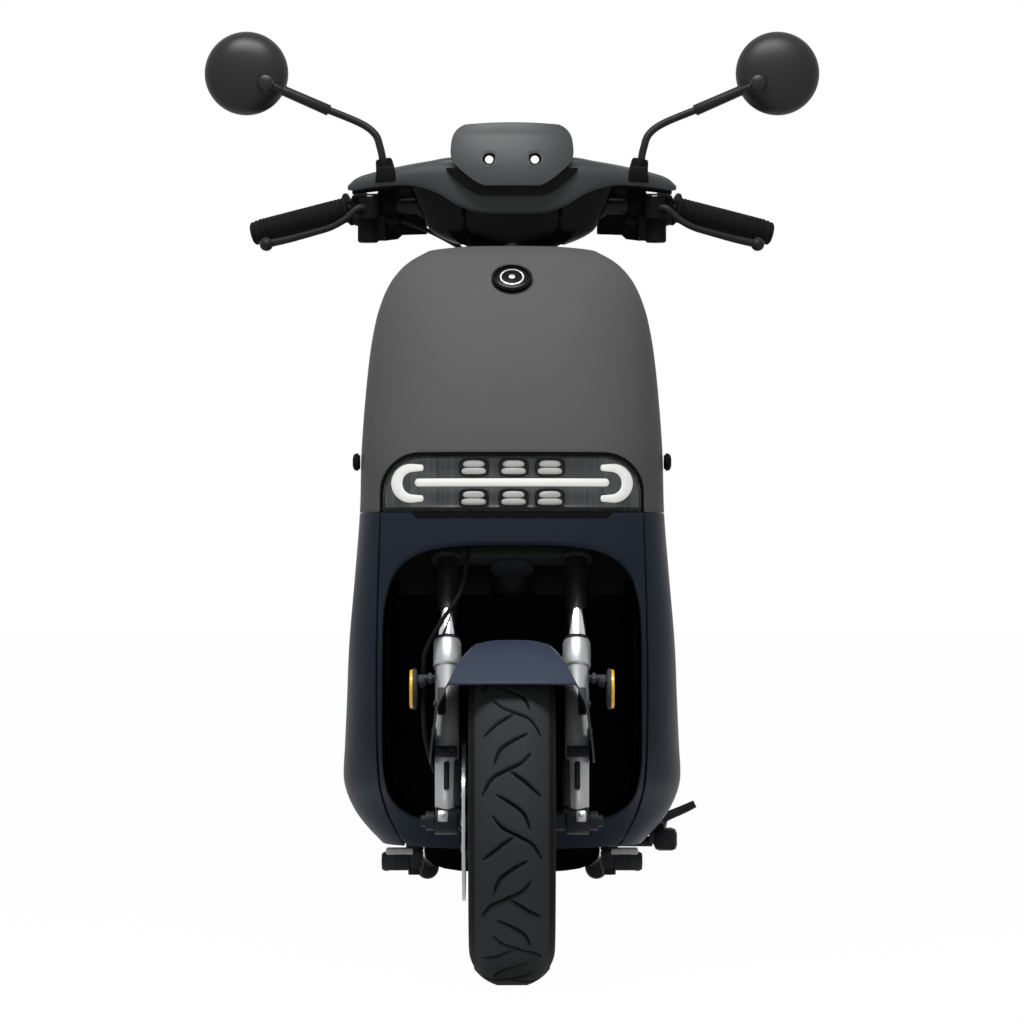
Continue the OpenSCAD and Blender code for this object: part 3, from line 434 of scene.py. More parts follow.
class Wiring:
    """Puts nodes into a shader tree and joins them."""

    def __init__(self, tree: bpy.types.NodeTree) -> None:
        """Starts on a tree."""
        self.nodes, self.links = tree.nodes, tree.links

    def feed(self, node: bpy.types.Node, **values: object) -> None:
        """Sets a node's inputs, or links sockets to them.

        Args:
            node: the node.
            values: what goes into each input, whose label has _ for a space.
        """
        for label, value in values.items():
            socket = node.inputs[label.replace("_", " ")]
            if isinstance(value, bpy.types.NodeSocket):
                self.links.new(value, socket)
            else:
                socket.default_value = value

    def add(self, kind: str, setup: Optional[dict[str, object]] = None,
            **values: object) -> bpy.types.Node:
        """A new node.

        Args:
            kind: its type, without the common prefix.
            setup: the node's own settings.
            values: what goes into its inputs.

        Returns:
            The node.
        """
        node = self.nodes.new("ShaderNode" + kind)
        for key, value in (setup or {}).items():
            setattr(node, key, value)
        self.feed(node, **values)
        return node

    def maths(self, kind: str, *values: object) -> bpy.types.NodeSocket:
        """The output of a Math node on sockets and numbers."""
        node = self.add("Math", {"operation": kind})
        for socket, value in zip(node.inputs, values):
            if isinstance(value, (int, float)):
                socket.default_value = value
            else:
                self.links.new(value, socket)
        return node.outputs[0]

    def shaded(self, colour: bpy.types.NodeSocket, value: bpy.types.NodeSocket
               ) -> bpy.types.NodeSocket:
        """A colour made lighter or darker by a value."""
        return self.add("HueSaturation", Color=colour, Value=value).outputs["Color"]

    def where(self) -> bpy.types.NodeSocket:
        """The place on the piece."""
        return self.add("TexCoord").outputs["Object"]


def _group(name: str, ins: Sequence[str], outs: Sequence[str]
           ) -> tuple[Wiring, bpy.types.NodeTree, object, bpy.types.Node]:
    """A new shader group.

    Args:
        name: its name.
        ins: labels of its inputs, of which Colour and Worn are colours.
        outs: labels of its outputs.

    Returns:
        Its wiring, the group, the sockets of its input and its output node.
    """
    tree = bpy.data.node_groups.new(name, "ShaderNodeTree")
    for label, way in [(k, "INPUT") for k in ins] + [(k, "OUTPUT") for k in outs]:
        kind = "Color" if label in ("Colour", "Worn") else "Float"
        tree.interface.new_socket(name=label, in_out=way, socket_type="NodeSocket" + kind)
    into, out = tree.nodes.new("NodeGroupInput"), tree.nodes.new("NodeGroupOutput")
    return Wiring(tree), tree, into.outputs, out


class Groups:
    """Shader groups that the finishes share."""

    made: dict[str, bpy.types.NodeTree] = {}

    @classmethod
    def grain(cls) -> bpy.types.NodeTree:
        """Moulded grain: a fine texture, broad mottling and uneven gloss."""
        if "grain" in cls.made:
            return cls.made["grain"]
        net, cls.made["grain"], into, out = _group(
            "Moulded grain", ("Colour", "Mottle", "Gloss", "Fineness"),
            ("Colour", "Roughness", "Height"))
        where = net.where()
        fine = net.add("TexNoise", Scale=into["Fineness"], Detail=3.0, Vector=where)
        broad = net.add("TexNoise", Scale=7.0, Detail=5.0, Vector=where)
        swing = net.maths("SUBTRACT", broad.outputs["Fac"], 0.5)
        value = net.maths("MULTIPLY_ADD", swing, into["Mottle"], 1.0)
        net.feed(out, Colour=net.shaded(into["Colour"], value), Height=fine.outputs["Fac"],
                 Roughness=net.maths("MULTIPLY_ADD", swing, 0.25, into["Gloss"]))
        return cls.made["grain"]

    @classmethod
    def wear(cls) -> bpy.types.NodeTree:
        """Edge wear: exposed edges rubbed lighter in patches."""
        if "wear" in cls.made:
            return cls.made["wear"]
        net, cls.made["wear"], into, out = _group(
            "Edge wear", ("Colour", "Worn", "Amount"), ("Colour",))
        patch = net.add("TexNoise", Scale=60.0, Detail=4.0, Vector=net.where())
        edge = net.add("MapRange", From_Min=0.53, From_Max=0.64,
                       Value=net.add("NewGeometry").outputs["Pointiness"])
        mask = net.maths("MULTIPLY", edge.outputs["Result"], patch.outputs["Fac"])
        mask = net.maths("MULTIPLY", mask, into["Amount"])
        blend = net.add("Mix", {"data_type": "RGBA"}, Factor=mask, A=into["Colour"],
                        B=into["Worn"])
        net.feed(out, Colour=blend.outputs["Result"])
        return cls.made["wear"]


@dataclass(frozen=True)
class Finish:
    """A surface: its colour, gloss, grain and wear."""

    name: str
    colour: Colour
    rough: float = 0.5
    spec: float = 0.25
    metal: float = 0.0
    fineness: float = 900.0
    bump: float = 0.06
    mottle: float = 0.12
    wear: float = 0.25
    glow: float = 0.0
    alpha: float = 1.0
    kind: Kind = Kind.SOLID

    def material(self) -> bpy.types.Material:
        """The finish as a material, made once."""
        found = bpy.data.materials.get(self.name)
        if found:
            return found
        mat = bpy.data.materials.new(self.name)
        mat.use_nodes = True
        net = Wiring(mat.node_tree)
        shader = net.nodes["Principled BSDF"]
        net.feed(shader, Specular_IOR_Level=self.spec, Metallic=self.metal, Alpha=self.alpha)
        grain = net.add("Group", {"node_tree": Groups.grain()}, Colour=linear(self.colour),
                        Mottle=self.mottle, Gloss=self.rough, Fineness=self.fineness)
        colour, rough, height = (grain.outputs[k] for k in ("Colour", "Roughness", "Height"))
        colour, height = self._figure(net, colour, height)
        if self.wear:
            light = tuple(min(255, round(c * 1.5 + 22)) for c in self.colour)
            worn = net.add("Group", {"node_tree": Groups.wear()}, Worn=linear(light),
                           Amount=self.wear, Colour=colour)
            colour = worn.outputs["Colour"]
        net.feed(shader, Base_Color=colour, Roughness=rough)
        if self.bump:
            bump = net.add("Bump", Strength=0.6, Distance=self.bump * 0.001, Height=height)
            net.feed(shader, Normal=bump.outputs["Normal"])
        if self.glow:
            net.feed(shader, Emission_Color=colour, Emission_Strength=self.glow)
        return mat

    def _figure(self, net: Wiring, colour: bpy.types.NodeSocket,
                height: bpy.types.NodeSocket
                ) -> tuple[bpy.types.NodeSocket, bpy.types.NodeSocket]:
        """Adds the kind's own pattern to the colour and the height; for rubber it paints shade
        into the grooves and onto the flanks.

        Args:
            net: the material's wiring.
            colour: the colour so far.
            height: the height so far.

        Returns:
            The new colour and height.
        """
        if self.kind is Kind.SOLID:
            return colour, height
        if self.kind is Kind.RUBBER:
            # Painted shade: the groove attribute darkens the tyre's colour in its grooves and on
            # its flanks.
            groove_and_flank_shade = net.add("Attribute", {"attribute_name": "groove"}).outputs["Fac"]
            return net.shaded(colour, net.maths("MULTIPLY_ADD", groove_and_flank_shade, -0.88, 1.0)), height
        where = net.where()
        if self.kind is Kind.LEATHER:
            cells = net.add("TexVoronoi", {"feature": "DISTANCE_TO_EDGE"}, Scale=620.0,
                            Vector=where)
            crease = net.maths("MINIMUM", cells.outputs["Distance"], 0.16)
            return colour, net.maths("MULTIPLY_ADD", crease, 5.0, height)
        if self.kind is Kind.PRISM:
            cells = net.add("TexVoronoi", {"distance": "MANHATTAN"}, Scale=330.0,
                            Randomness=0.0, Vector=where).outputs["Distance"]
            return net.shaded(colour, net.maths("MULTIPLY_ADD", cells, -0.6, 1.25)), cells
        scale, share = 1400.0, 0.35
        if self.kind is Kind.STREAKED:
            scale, share = 260.0, 1.6
            where = net.add("Mapping", Vector=where, Scale=(1, 0.05, 0.03)).outputs["Vector"]
        lines = net.add("TexNoise", Scale=scale, Detail=3.0, Vector=where).outputs["Fac"]
        value = net.maths("MULTIPLY_ADD", lines, share, 1 - share / 2)
        return net.shaded(colour, value), lines


SHIELD = Finish("Satin charcoal paint", (74, 74, 75), 0.55, 0.05, mottle=0.04, bump=0.012,
                wear=0.05)
COVER = Finish("Satin graphite paint", (47, 48, 49), 0.42, 0.22, mottle=0.05, bump=0.012, wear=0.1)
NAVY = Finish("Deep navy paint", (30, 36, 46), 0.42, 0.04, mottle=0.05, bump=0.01, wear=0.06)
# A lighter copy of the navy paint for the fender: painted light, standing in for the light that
# its face catches.
NAVY_LIT_COPY = Finish("Navy paint, lit copy for the fender", (44, 51, 65), 0.4, 0.1, mottle=0.05, bump=0.01,
                     wear=0.08)
BLACK = Finish("Black moulded plastic", (13, 13, 14), 0.55, 0.03, fineness=1600, bump=0.09)
# Black plastic of the wheel well and under tray, made near-black and without sheen as painted
# shade of the well.
INSIDE_SHADED = Finish("Inner black plastic with painted shade", (7, 7, 8), 0.8, 0.0, fineness=1600, bump=0.1, wear=0.1)
PIANO = Finish("Gloss black plastic", (5, 5, 6), 0.25, 0.08, mottle=0.05, bump=0.0, wear=0.0)
GREY_TRIM = Finish("Grey moulded plastic", (52, 53, 55), 0.55, 0.08, fineness=1500, bump=0.1)
RUBBER = Finish("Grip rubber", (20, 20, 21), 0.6, 0.03, fineness=1100, bump=0.15)
# Tyre rubber, darkened in the grooves and on the flanks as painted shade.
TYRE = Finish("Tyre rubber", (47, 48, 49), 0.72, 0.02, fineness=700, bump=0.12, mottle=0.16,
              wear=0.15, kind=Kind.RUBBER)
STEEL_BLACK = Finish("Black enamelled steel", (27, 27, 29), 0.42, 0.1, fineness=500, bump=0.05)
CAST_BLACK = Finish("Black cast alloy", (26, 27, 29), 0.5, 0.12, fineness=800, bump=0.12)
SILVER = Finish("Satin silver alloy", (160, 161, 162), 0.38, 0.4, metal=0.55, mottle=0.08,
                fineness=900, bump=0.02)
MIRROR_BACK = Finish("Satin mirror shell", (28, 28, 29), 0.38, 0.2, mottle=0.05, bump=0.012,
                     wear=0.08)
CHROME = Finish("Hard chrome", (205, 206, 208), 0.12, 0.5, metal=1.0, mottle=0.03, bump=0.0,
                wear=0.0)
# Painted reflection: the chrome slider tubes get a dark colour that stands in for the dark wheel
# well they reflect.
CHROME_PAINTED_DARK = Finish("Chrome slider tube painted dark", (34, 35, 36), 0.3, 0.3, metal=0.5, mottle=0.05, bump=0.0,
                   wear=0.0)
# Footpeg top plate: a light alloy plate, its colour raised further as painted light to make up for
# the shade it sits in.
PEG_PLATE_PAINTED_LIGHT = Finish("Worn alloy plate with painted light", (205, 205, 203), 0.5, 0.15, mottle=0.2)
ZINC = Finish("Zinc plated steel", (150, 151, 150), 0.36, 0.5, metal=0.9, mottle=0.2)
DISC = Finish("Ground disc steel", (168, 169, 171), 0.3, 0.5, metal=0.9, mottle=0.1, bump=0.02,
              kind=Kind.BRUSHED)
# The reflector is no lamp: its glow is painted light.
AMBER = Finish("Amber reflector with painted glow", (226, 176, 28), 0.25, 0.5, bump=0.3, glow=0.12, wear=0.0,
               kind=Kind.PRISM)
RED = Finish("Red lamp lens", (150, 16, 18), 0.16, 0.5, bump=0.3, glow=0.05, wear=0.0,
             kind=Kind.PRISM)
LED = Finish("Lit light guide", (247, 247, 243), 0.3, 0.3, mottle=0.03, bump=0.0, wear=0.0,
             glow=0.7)
CELL = Finish("Lamp cell", (205, 205, 202), 0.35, 0.3, mottle=0.06, bump=0.0, wear=0.0, glow=0.35)
REFLECTOR = Finish("Streaked lamp back", (102, 103, 105), 0.35, 0.4, metal=0.3, bump=0.15,
                   wear=0.0, kind=Kind.STREAKED)
LENS = Finish("Smoked lamp lens", (30, 31, 32), 0.08, 0.35, bump=0.0, wear=0.0, alpha=0.22,
              mottle=0.0)
LEATHER = Finish("Black seat leatherette", (26, 26, 28), 0.5, 0.25, fineness=500, bump=0.35,
                 mottle=0.14, wear=0.1, kind=Kind.LEATHER)
THREAD = Finish("Grey seat thread", (74, 74, 76), 0.7, 0.2, fineness=3000, bump=0.1)
MIRROR = Finish("Mirror glass", (232, 234, 236), 0.03, 0.5, metal=1.0, mottle=0.0, bump=0.0,
                wear=0.0)
SCREEN = Finish("Dark display glass", (12, 14, 17), 0.08, 0.5, bump=0.0, wear=0.0, mottle=0.0)
SPRING = Finish("Grey spring enamel", (128, 130, 133), 0.4, 0.35, mottle=0.1)
BATTERY = Finish("Green battery case", (42, 66, 51), 0.5, 0.25, fineness=1500, bump=0.1)
HOSE = Finish("Brake hose rubber", (18, 18, 19), 0.5, 0.08, fineness=1800, bump=0.12)
YELLOW = Finish("Yellow button", (176, 158, 34), 0.45, 0.3)
CLEAR_AMBER = Finish("Amber indicator lens", (206, 116, 26), 0.14, 0.5, bump=0.2, wear=0.0,
                     glow=0.04, kind=Kind.PRISM)


# ---- front body
@dataclass(frozen=True)
class Skin:
    """The outer skin of the front body, as depth over width and height."""

    width: Table = Table((
        (152, 167), (165, 179), (173, 187), (193, 203), (212, 213), (231, 219), (250, 221),
        (290, 218), (347, 214.5), (424, 210.5), (518, 202), (594, 196), (672, 194), (748, 189),
        (806, 183), (845, 176), (864, 170.5), (880, 164.5), (897, 155.5), (912, 143.5),
        (923, 131), (935, 112)))
    front: Table = Table((
        (150, 262), (190, 243), (215, 218), (250, 165), (300, 112), (400, 76), (520, 65),
        (600, 66), (665, 74), (740, 98), (820, 134), (870, 164), (891, 182), (912, 206),
        (925, 232), (935, 262)))
    depth: Table = Table((
        (150, 140), (250, 165), (300, 175), (400, 165), (600, 140), (740, 132), (820, 118),
        (900, 95), (935, 70)))
    seam: Table = Table((
        (157, 141), (165, 146), (178, 153), (190, 159), (205, 165), (227, 170.6),
        (254, 173.5), (300, 174.5), (380, 174.6), (470, 173), (540, 170.8), (600, 168.6)))

    def side(self, z: float) -> float:
        """Depth of the outer edge at a height."""
        return self.front(z) + self.depth(z)

    def at(self, x: float, z: float, sink: float = 0.0) -> Vector:
        """Point on the skin, or a distance behind it.

        Args:
            x: place across.
            z: height.
            sink: distance behind the skin, square to it.

        Returns:
            The point in the body frame.
        """
        t = min(1.0, abs(x) / self.width(z))
        y = self.front(z) + self.depth(z) * (1 - (1 - t ** 2.5) ** 0.4)
        if sink:
            fx = (self.at(x + 1, z).y - self.at(x - 1, z).y) / 2
            fz = (self.at(x, z + 1).y - self.at(x, z - 1).y) / 2
            y += sink * sqrt(1 + fx * fx + fz * fz)
        return Vector((x, y, z))


SKIN = Skin()


@dataclass
class FrontBody:
    """Leg shield, cowl, side panels, inner shield, floor and their trim."""

    wall: float = 2.6
    shield_low: float = 592.2
    shield_top: float = 935.0
    slot_half: float = 117.0
    slot_corner: float = 53.0
    slot_level: float = 615.0
    well_start: float = 21.0
    well_deep: float = 80.0
    seam_sink: float = 4.2
    arch: Pairs = ((0, 550), (60, 549), (105, 543), (133, 530), (149, 512), (158, 488),
                   (164, 450), (165.5, 360), (166, 290), (165.4, 262), (161.5, 234), (153, 217),
                   (140, 205), (120, 196), (60, 190), (0, 189))
    inner: Table = Table(((300, 340), (400, 354), (600, 374), (800, 400), (870, 406), (920, 432)))

    def slot_width(self, z: float) -> float:
        """Half width of the lamp opening at a height."""
        over = max(0.0, z - self.slot_level)
        return self.slot_half + sqrt(max(0.0, self.slot_corner ** 2 - over * over))

    def _shield_row(self, z: float, s: float, columns: float) -> Vector:
        """Point of the shield on one height, at a signed share across."""
        w = SKIN.width(z)
        if z > self.slot_level + self.slot_corner:
            c = mix(self.slot_half, w * 0.62,
                    min(1.0, (z - self.slot_level - self.slot_corner) / 120))
        else:
            c = self.slot_width(z)
        a = abs(s)
        x = c * a / columns if a <= columns else mix(
            c, w, sin((a - columns) / (1 - columns) * pi / 2))
        return SKIN.at(copysign(min(x, w), s), z)

    def shield(self) -> None:
        """The painted leg shield with the opening for the lamp."""
        top = self.slot_level + self.slot_corner
        rows = [self.shield_top + 2.2 * k for k in (3, 2.4, 1.8, 1.2, 0.6, 0.2)]
        rows += [mix(self.shield_top, top, i / 60) for i in range(61)]
        rows += [self.slot_level + self.slot_corner * sin(radians(90 - i * 5))
                 for i in range(1, 19)]
        rows += [mix(self.slot_level, self.shield_low, i / 6) for i in range(1, 7)]
        count, columns = len(rows) - 1, 0.5
        hole = 66

        def shape(u: float, v: float) -> Vector:
            """Point of the shield."""
            z, s = rows[round(v * count)], u * 2 - 1
            over = max(0.0, (z - self.shield_top) / 2.2)
            p = self._shield_row(min(z, self.shield_top), s, columns)
            return Vector((p.x * (1 - 0.03 * over * over), p.y + 12 * over, z))

        sheet = woven(shape, 96, count, (0, -1, 0),
                      lambda u, v: v * count < hole or abs(u * 2 - 1) > columns)
        shell("shield_skin", walled(sheet, self.wall, 0.7), "chassis", SHIELD, "front_shield")

    def _band(self) -> list[Vector]:
        """Half outline of the cowl's outer edge, from the top to the bottom."""
        top = [(0, 591), (60, 591), (110, 591), (145, 591), (SKIN.seam(591) - 2.4, 591)]
        side = [(SKIN.seam(z) - 2.8, z) for z in (540, 470, 360, 296, 257, 229, 200, 181, 164)]
        return [Vector((x, z)) for x, z in top + side + [(124, 157), (60, 155.5), (0, 155)]]

    def cowl(self) -> None:
        """The navy ring around the wheel arch, rolled into the well."""
        inside = spline([(x, z, 0) for x, z in self.arch], 8)
        flat = [p.to_3d() for p in self._band()]
        outside = [flat[i].lerp(flat[i + 1], k / 8) for i in range(4) for k in range(8)]
        outside += spline(flat[4:], 8)
        lip = [(0.0, 26.0), (0.0, 18.0), (0.0, 10.0)]
        roll = 6
        for k in range(roll + 1):
            turn = pi / 2 * k / roll
            lip.append((1 - cos(turn), 1 - sin(turn)))
        count = len(lip) + 7
        half = len(inside) - 1

        def shape(u: float, v: float) -> Vector:
            """Point of the cowl ring."""
            s = u * 2 - 1
            a, b = along(inside, abs(s)), along(outside, abs(s))
            way = b - a
            radius = min(6.0, way.length * 0.7)
            k = round(v * count)
            if k < 3:
                out, sink = 0.0, lip[k][1]
            elif k < len(lip):
                out, sink = lip[k][0] * radius, lip[k][1] * radius
            else:
                out, sink = mix(radius, way.length, (k - len(lip) + 1) / 8), 0.0
            p = a + way * (out / way.length)
            spot = SKIN.at(copysign(p.x, s), p.y)
            return spot + Vector((0, sink, 0))

        sheet = woven(shape, half * 2, count, (0, -1, 0))
        shell("cowl_ring", walled(sheet, self.wall, 0.6), "chassis", NAVY, "front_cowl")

    def well(self) -> None:
        """The black wall of the wheel well: black plastic, made near-black as painted shade."""
        rim = [p for p in spline([(x, z, 0) for x, z in self.arch], 8) if p.y < 505]
        across = 2 * 8 * (len(self.arch) - 1)

        def liner(u: float, v: float) -> Vector:
            """Point of the black wall that closes the well behind the ring."""
            s = u * 2 - 1
            p, near = along(rim, 1 - abs(s)), along(rim, max(0.0, 0.98 - abs(s)))
            way = (p - near).normalized() if abs(s) < 0.98 else Vector((0, -1, 0))
            pull = mix(9.5, 19.0, exp(-((p.y - 212) / 26) ** 2)) * min(1.0, v * 1.4)
            p = p + Vector((way.y, -way.x, 0)) * (pull - 0.6)
            spot = SKIN.at(copysign(p.x, s), p.y)
            return spot + Vector((0, self.well_start + self.well_deep * v, 0))

        wall = woven(liner, across, 6)
        # The liner's near-black colour is partly painted shade of the well.
        emit("well_liner", walled(wall, 1.2, 0), "chassis", INSIDE_SHADED, "under_tray")

    def seams(self) -> None:
        """The black straps behind the cowl's seams and the slot above it."""
        def strap(u: float, v: float) -> Vector:
            """Point of the black strap behind the side seam."""
            z = mix(160, 598, u)
            return SKIN.at(SKIN.seam(z) - 1.4 + mix(-7, 7, v), z, self.seam_sink)

        def sill(u: float, v: float) -> Vector:
            """Point of the black strap behind the level seam."""
            z = mix(584, 598, v)
            return SKIN.at((SKIN.width(z) - 1) * sin((u - 0.5) * pi), z, 4.6)

        straps = [both(walled(woven(strap, 70, 3, (0, -1, 0)), 1.0, 0)),
                  walled(woven(sill, 80, 3, (0, -1, 0)), 1.0, 0)]
        emit("seam_straps", joined(straps), "chassis", PIANO, "front_cowl")

        def strip(u: float, v: float) -> Vector:
            """Point of the slot under the lamp."""
            z = mix(591.0, 584.0, v)
            x = (u * 2 - 1) * mix(128.0, 121.0, v)
            return SKIN.at(x, z, -0.35)

        emit("cowl_slot", walled(woven(strip, 40, 3, (0, -1, 0)), 0.5, 0.1), "chassis", PIANO,
             "front_cowl")

    def sides(self) -> None:
        """The navy side panels, down to the edge of the floor."""
        low_edge = ((150, 446), (182, 446), (200, 650), (284, 692), (296, 420), (312, 330))
        rows = [591 - 6 * i for i in range(46)] + [318, 315, 312, 309, 305, 300, 297]
        rows += [294, 291, 288, 285, 281, 275] + [270 - 4.185 * i for i in range(28)]
        count = len(rows) - 1

        def shape(u: float, v: float) -> Vector:
            """Point of the left side panel."""
            z = rows[round(v * count)]
            w, s, y = SKIN.width(z), SKIN.seam(z), SKIN.side(z)
            low = z < 312
            e = float(np.interp(z, *zip(*low_edge))) if low else y + 14
            ww = w - (22 if low else 0)
            if u <= 0.6:
                return SKIN.at(mix(s, w, sin(u / 0.6 * pi / 2)), z)
            k = (u - 0.6) / 0.4
            return Vector((mix(w, ww, k * k), mix(y, max(e, y + 12), k), z))

        sheet = woven(shape, 50, count, (1, -0.5, 0))
        shell("side_skins", both(walled(sheet, self.wall, 0.7)), "chassis", NAVY, "side_panels")

    def rider_side(self) -> None:
        """The inner shield that faces the rider, with its pocket, hook and lock ring."""
        rows = [919 - 14.5 * i for i in range(43)]
        count = len(rows) - 1

        def shape(u: float, v: float) -> Vector:
            """Point of the inner shield."""
            z = rows[round(v * count)]
            w, y0, yi = SKIN.width(z) - 6, SKIN.side(z) + 4, self.inner(z)
            s = sin((u * 2 - 1) * pi / 2)
            y = mix(yi, y0, abs(s) ** 3)
            pocket = max(0.0, 1 - ((s * w / 84) ** 4 + ((z - 640) / 92) ** 4))
            return Vector((w * s, y + 2.4 * (1 - s * s) - 26 * min(1.0, pocket * 2.5), z))

        shell("inner_shield_skin", walled(woven(shape, 64, count, (0, 1, 0)), self.wall, 0.6),
              "chassis", GREY_TRIM, "inner_shield")
        ring = turned(((12, 0), (19, 0), (19, 5), (17, 7), (13, 7), (12, 6)), 48, (0, 1, 0),
                      (-62, 404, 850))
        emit("lock_ring", ring, "chassis", BLACK, "inner_shield")
        hook = joined([
            tube([(0, 401, 806), (0, 424, 804), (0, 436, 790), (0, 430, 772), (0, 416, 768)],
                 lambda u: 5.5 - u * 1.5, 16, 6),
            block((-15, 396, 784), (15, 405, 826), 3)])
        emit("bag_hook", hook, "chassis", BLACK, "inner_shield")

    def floor(self) -> None:
        """The floorboard with rubber tread strips and its rolled edge."""
        def shape(u: float, v: float) -> Vector:
            """Point of the floor's top."""
            y, s = mix(342, 690, v), u * 2 - 1
            w = mix(210, 192, v)
            edge = 5 * abs(s) ** 6 + (6 * max(0.0, (abs(s) - 0.94) / 0.06) ** 2)
            return Vector((w * s, y, 293 - edge))

        shell("floor_skin", walled(woven(shape, 60, 30, (0, 0, 1)), 3, 0.6), "chassis", GREY_TRIM,
              "floorboard")
        strips = []
        for x in range(-160, 161, 32):
            strips.append(block((x - 9, 400, 291.5), (x + 9, 650, 295.5), 1.6))
            strips += [block((x - 7, y, 295), (x + 7, y + 5, 296.6), 0.7)
                       for y in range(408, 640, 12)]
        emit("floor_strips", joined(strips), "chassis", RUBBER, "floorboard")

    def trim(self) -> None:
        """The oval badge with a plain ring, and the side knobs."""
        spot = SKIN.at(0, 891)
        tilt = Matrix.Translation(spot + Vector((0, -0.8, 0.8))) @ Matrix.Rotation(
            radians(48), 4, "X") @ Matrix.Diagonal((1.0, 0.91, 1.0, 1.0))
        rim = turned(((21.6, 1.0), (22, 4.6), (23, 5.6), (24.4, 5.8), (25.6, 5.0), (26.4, 3.4),
                      (26.4, -2.0), (21.6, -2.0)), 72)
        shell("badge_rim", moved(rim, tilt), "chassis", PIANO, "shield_trim")
        face = turned(((0, 5.0), (6, 4.9), (12, 4.5), (17, 3.9), (21.8, 3.0), (21.8, -1.5),
                       (0, -1.5)), 72)
        emit("badge_face", moved(face, tilt), "chassis", PIANO, "shield_trim")
        ring = turned(((13.4, 4.7), (14.0, 5.0), (15.4, 4.75), (15.8, 4.1), (15.8, 3.6),
                       (13.4, 3.8)), 72)
        dot = turned(((0, 5.6), (3.4, 5.5), (4.2, 5.1), (4.2, 4.4), (0, 4.4)), 36)
        emit("badge_emblem", moved(joined([ring, dot]), tilt), "chassis", SILVER, "shield_trim")
        knob = turned(((0, 5.2), (5, 5.1), (8.5, 4.3), (10.6, 2.4), (11.4, 0), (11.4, -1.6),
                       (9.0, -3.2), (9.0, -4.6), (0, -4.6)), 48, (1, 0, 0), (199.8, 190, 657))
        emit("side_knobs", both(knob), "chassis", BLACK, "shield_trim")

    def build(self) -> None:
        """Builds every piece of the front body."""
        self.shield()
        self.cowl()
        self.well()
        self.seams()
        self.sides()
        self.rider_side()
        self.floor()
        self.trim()


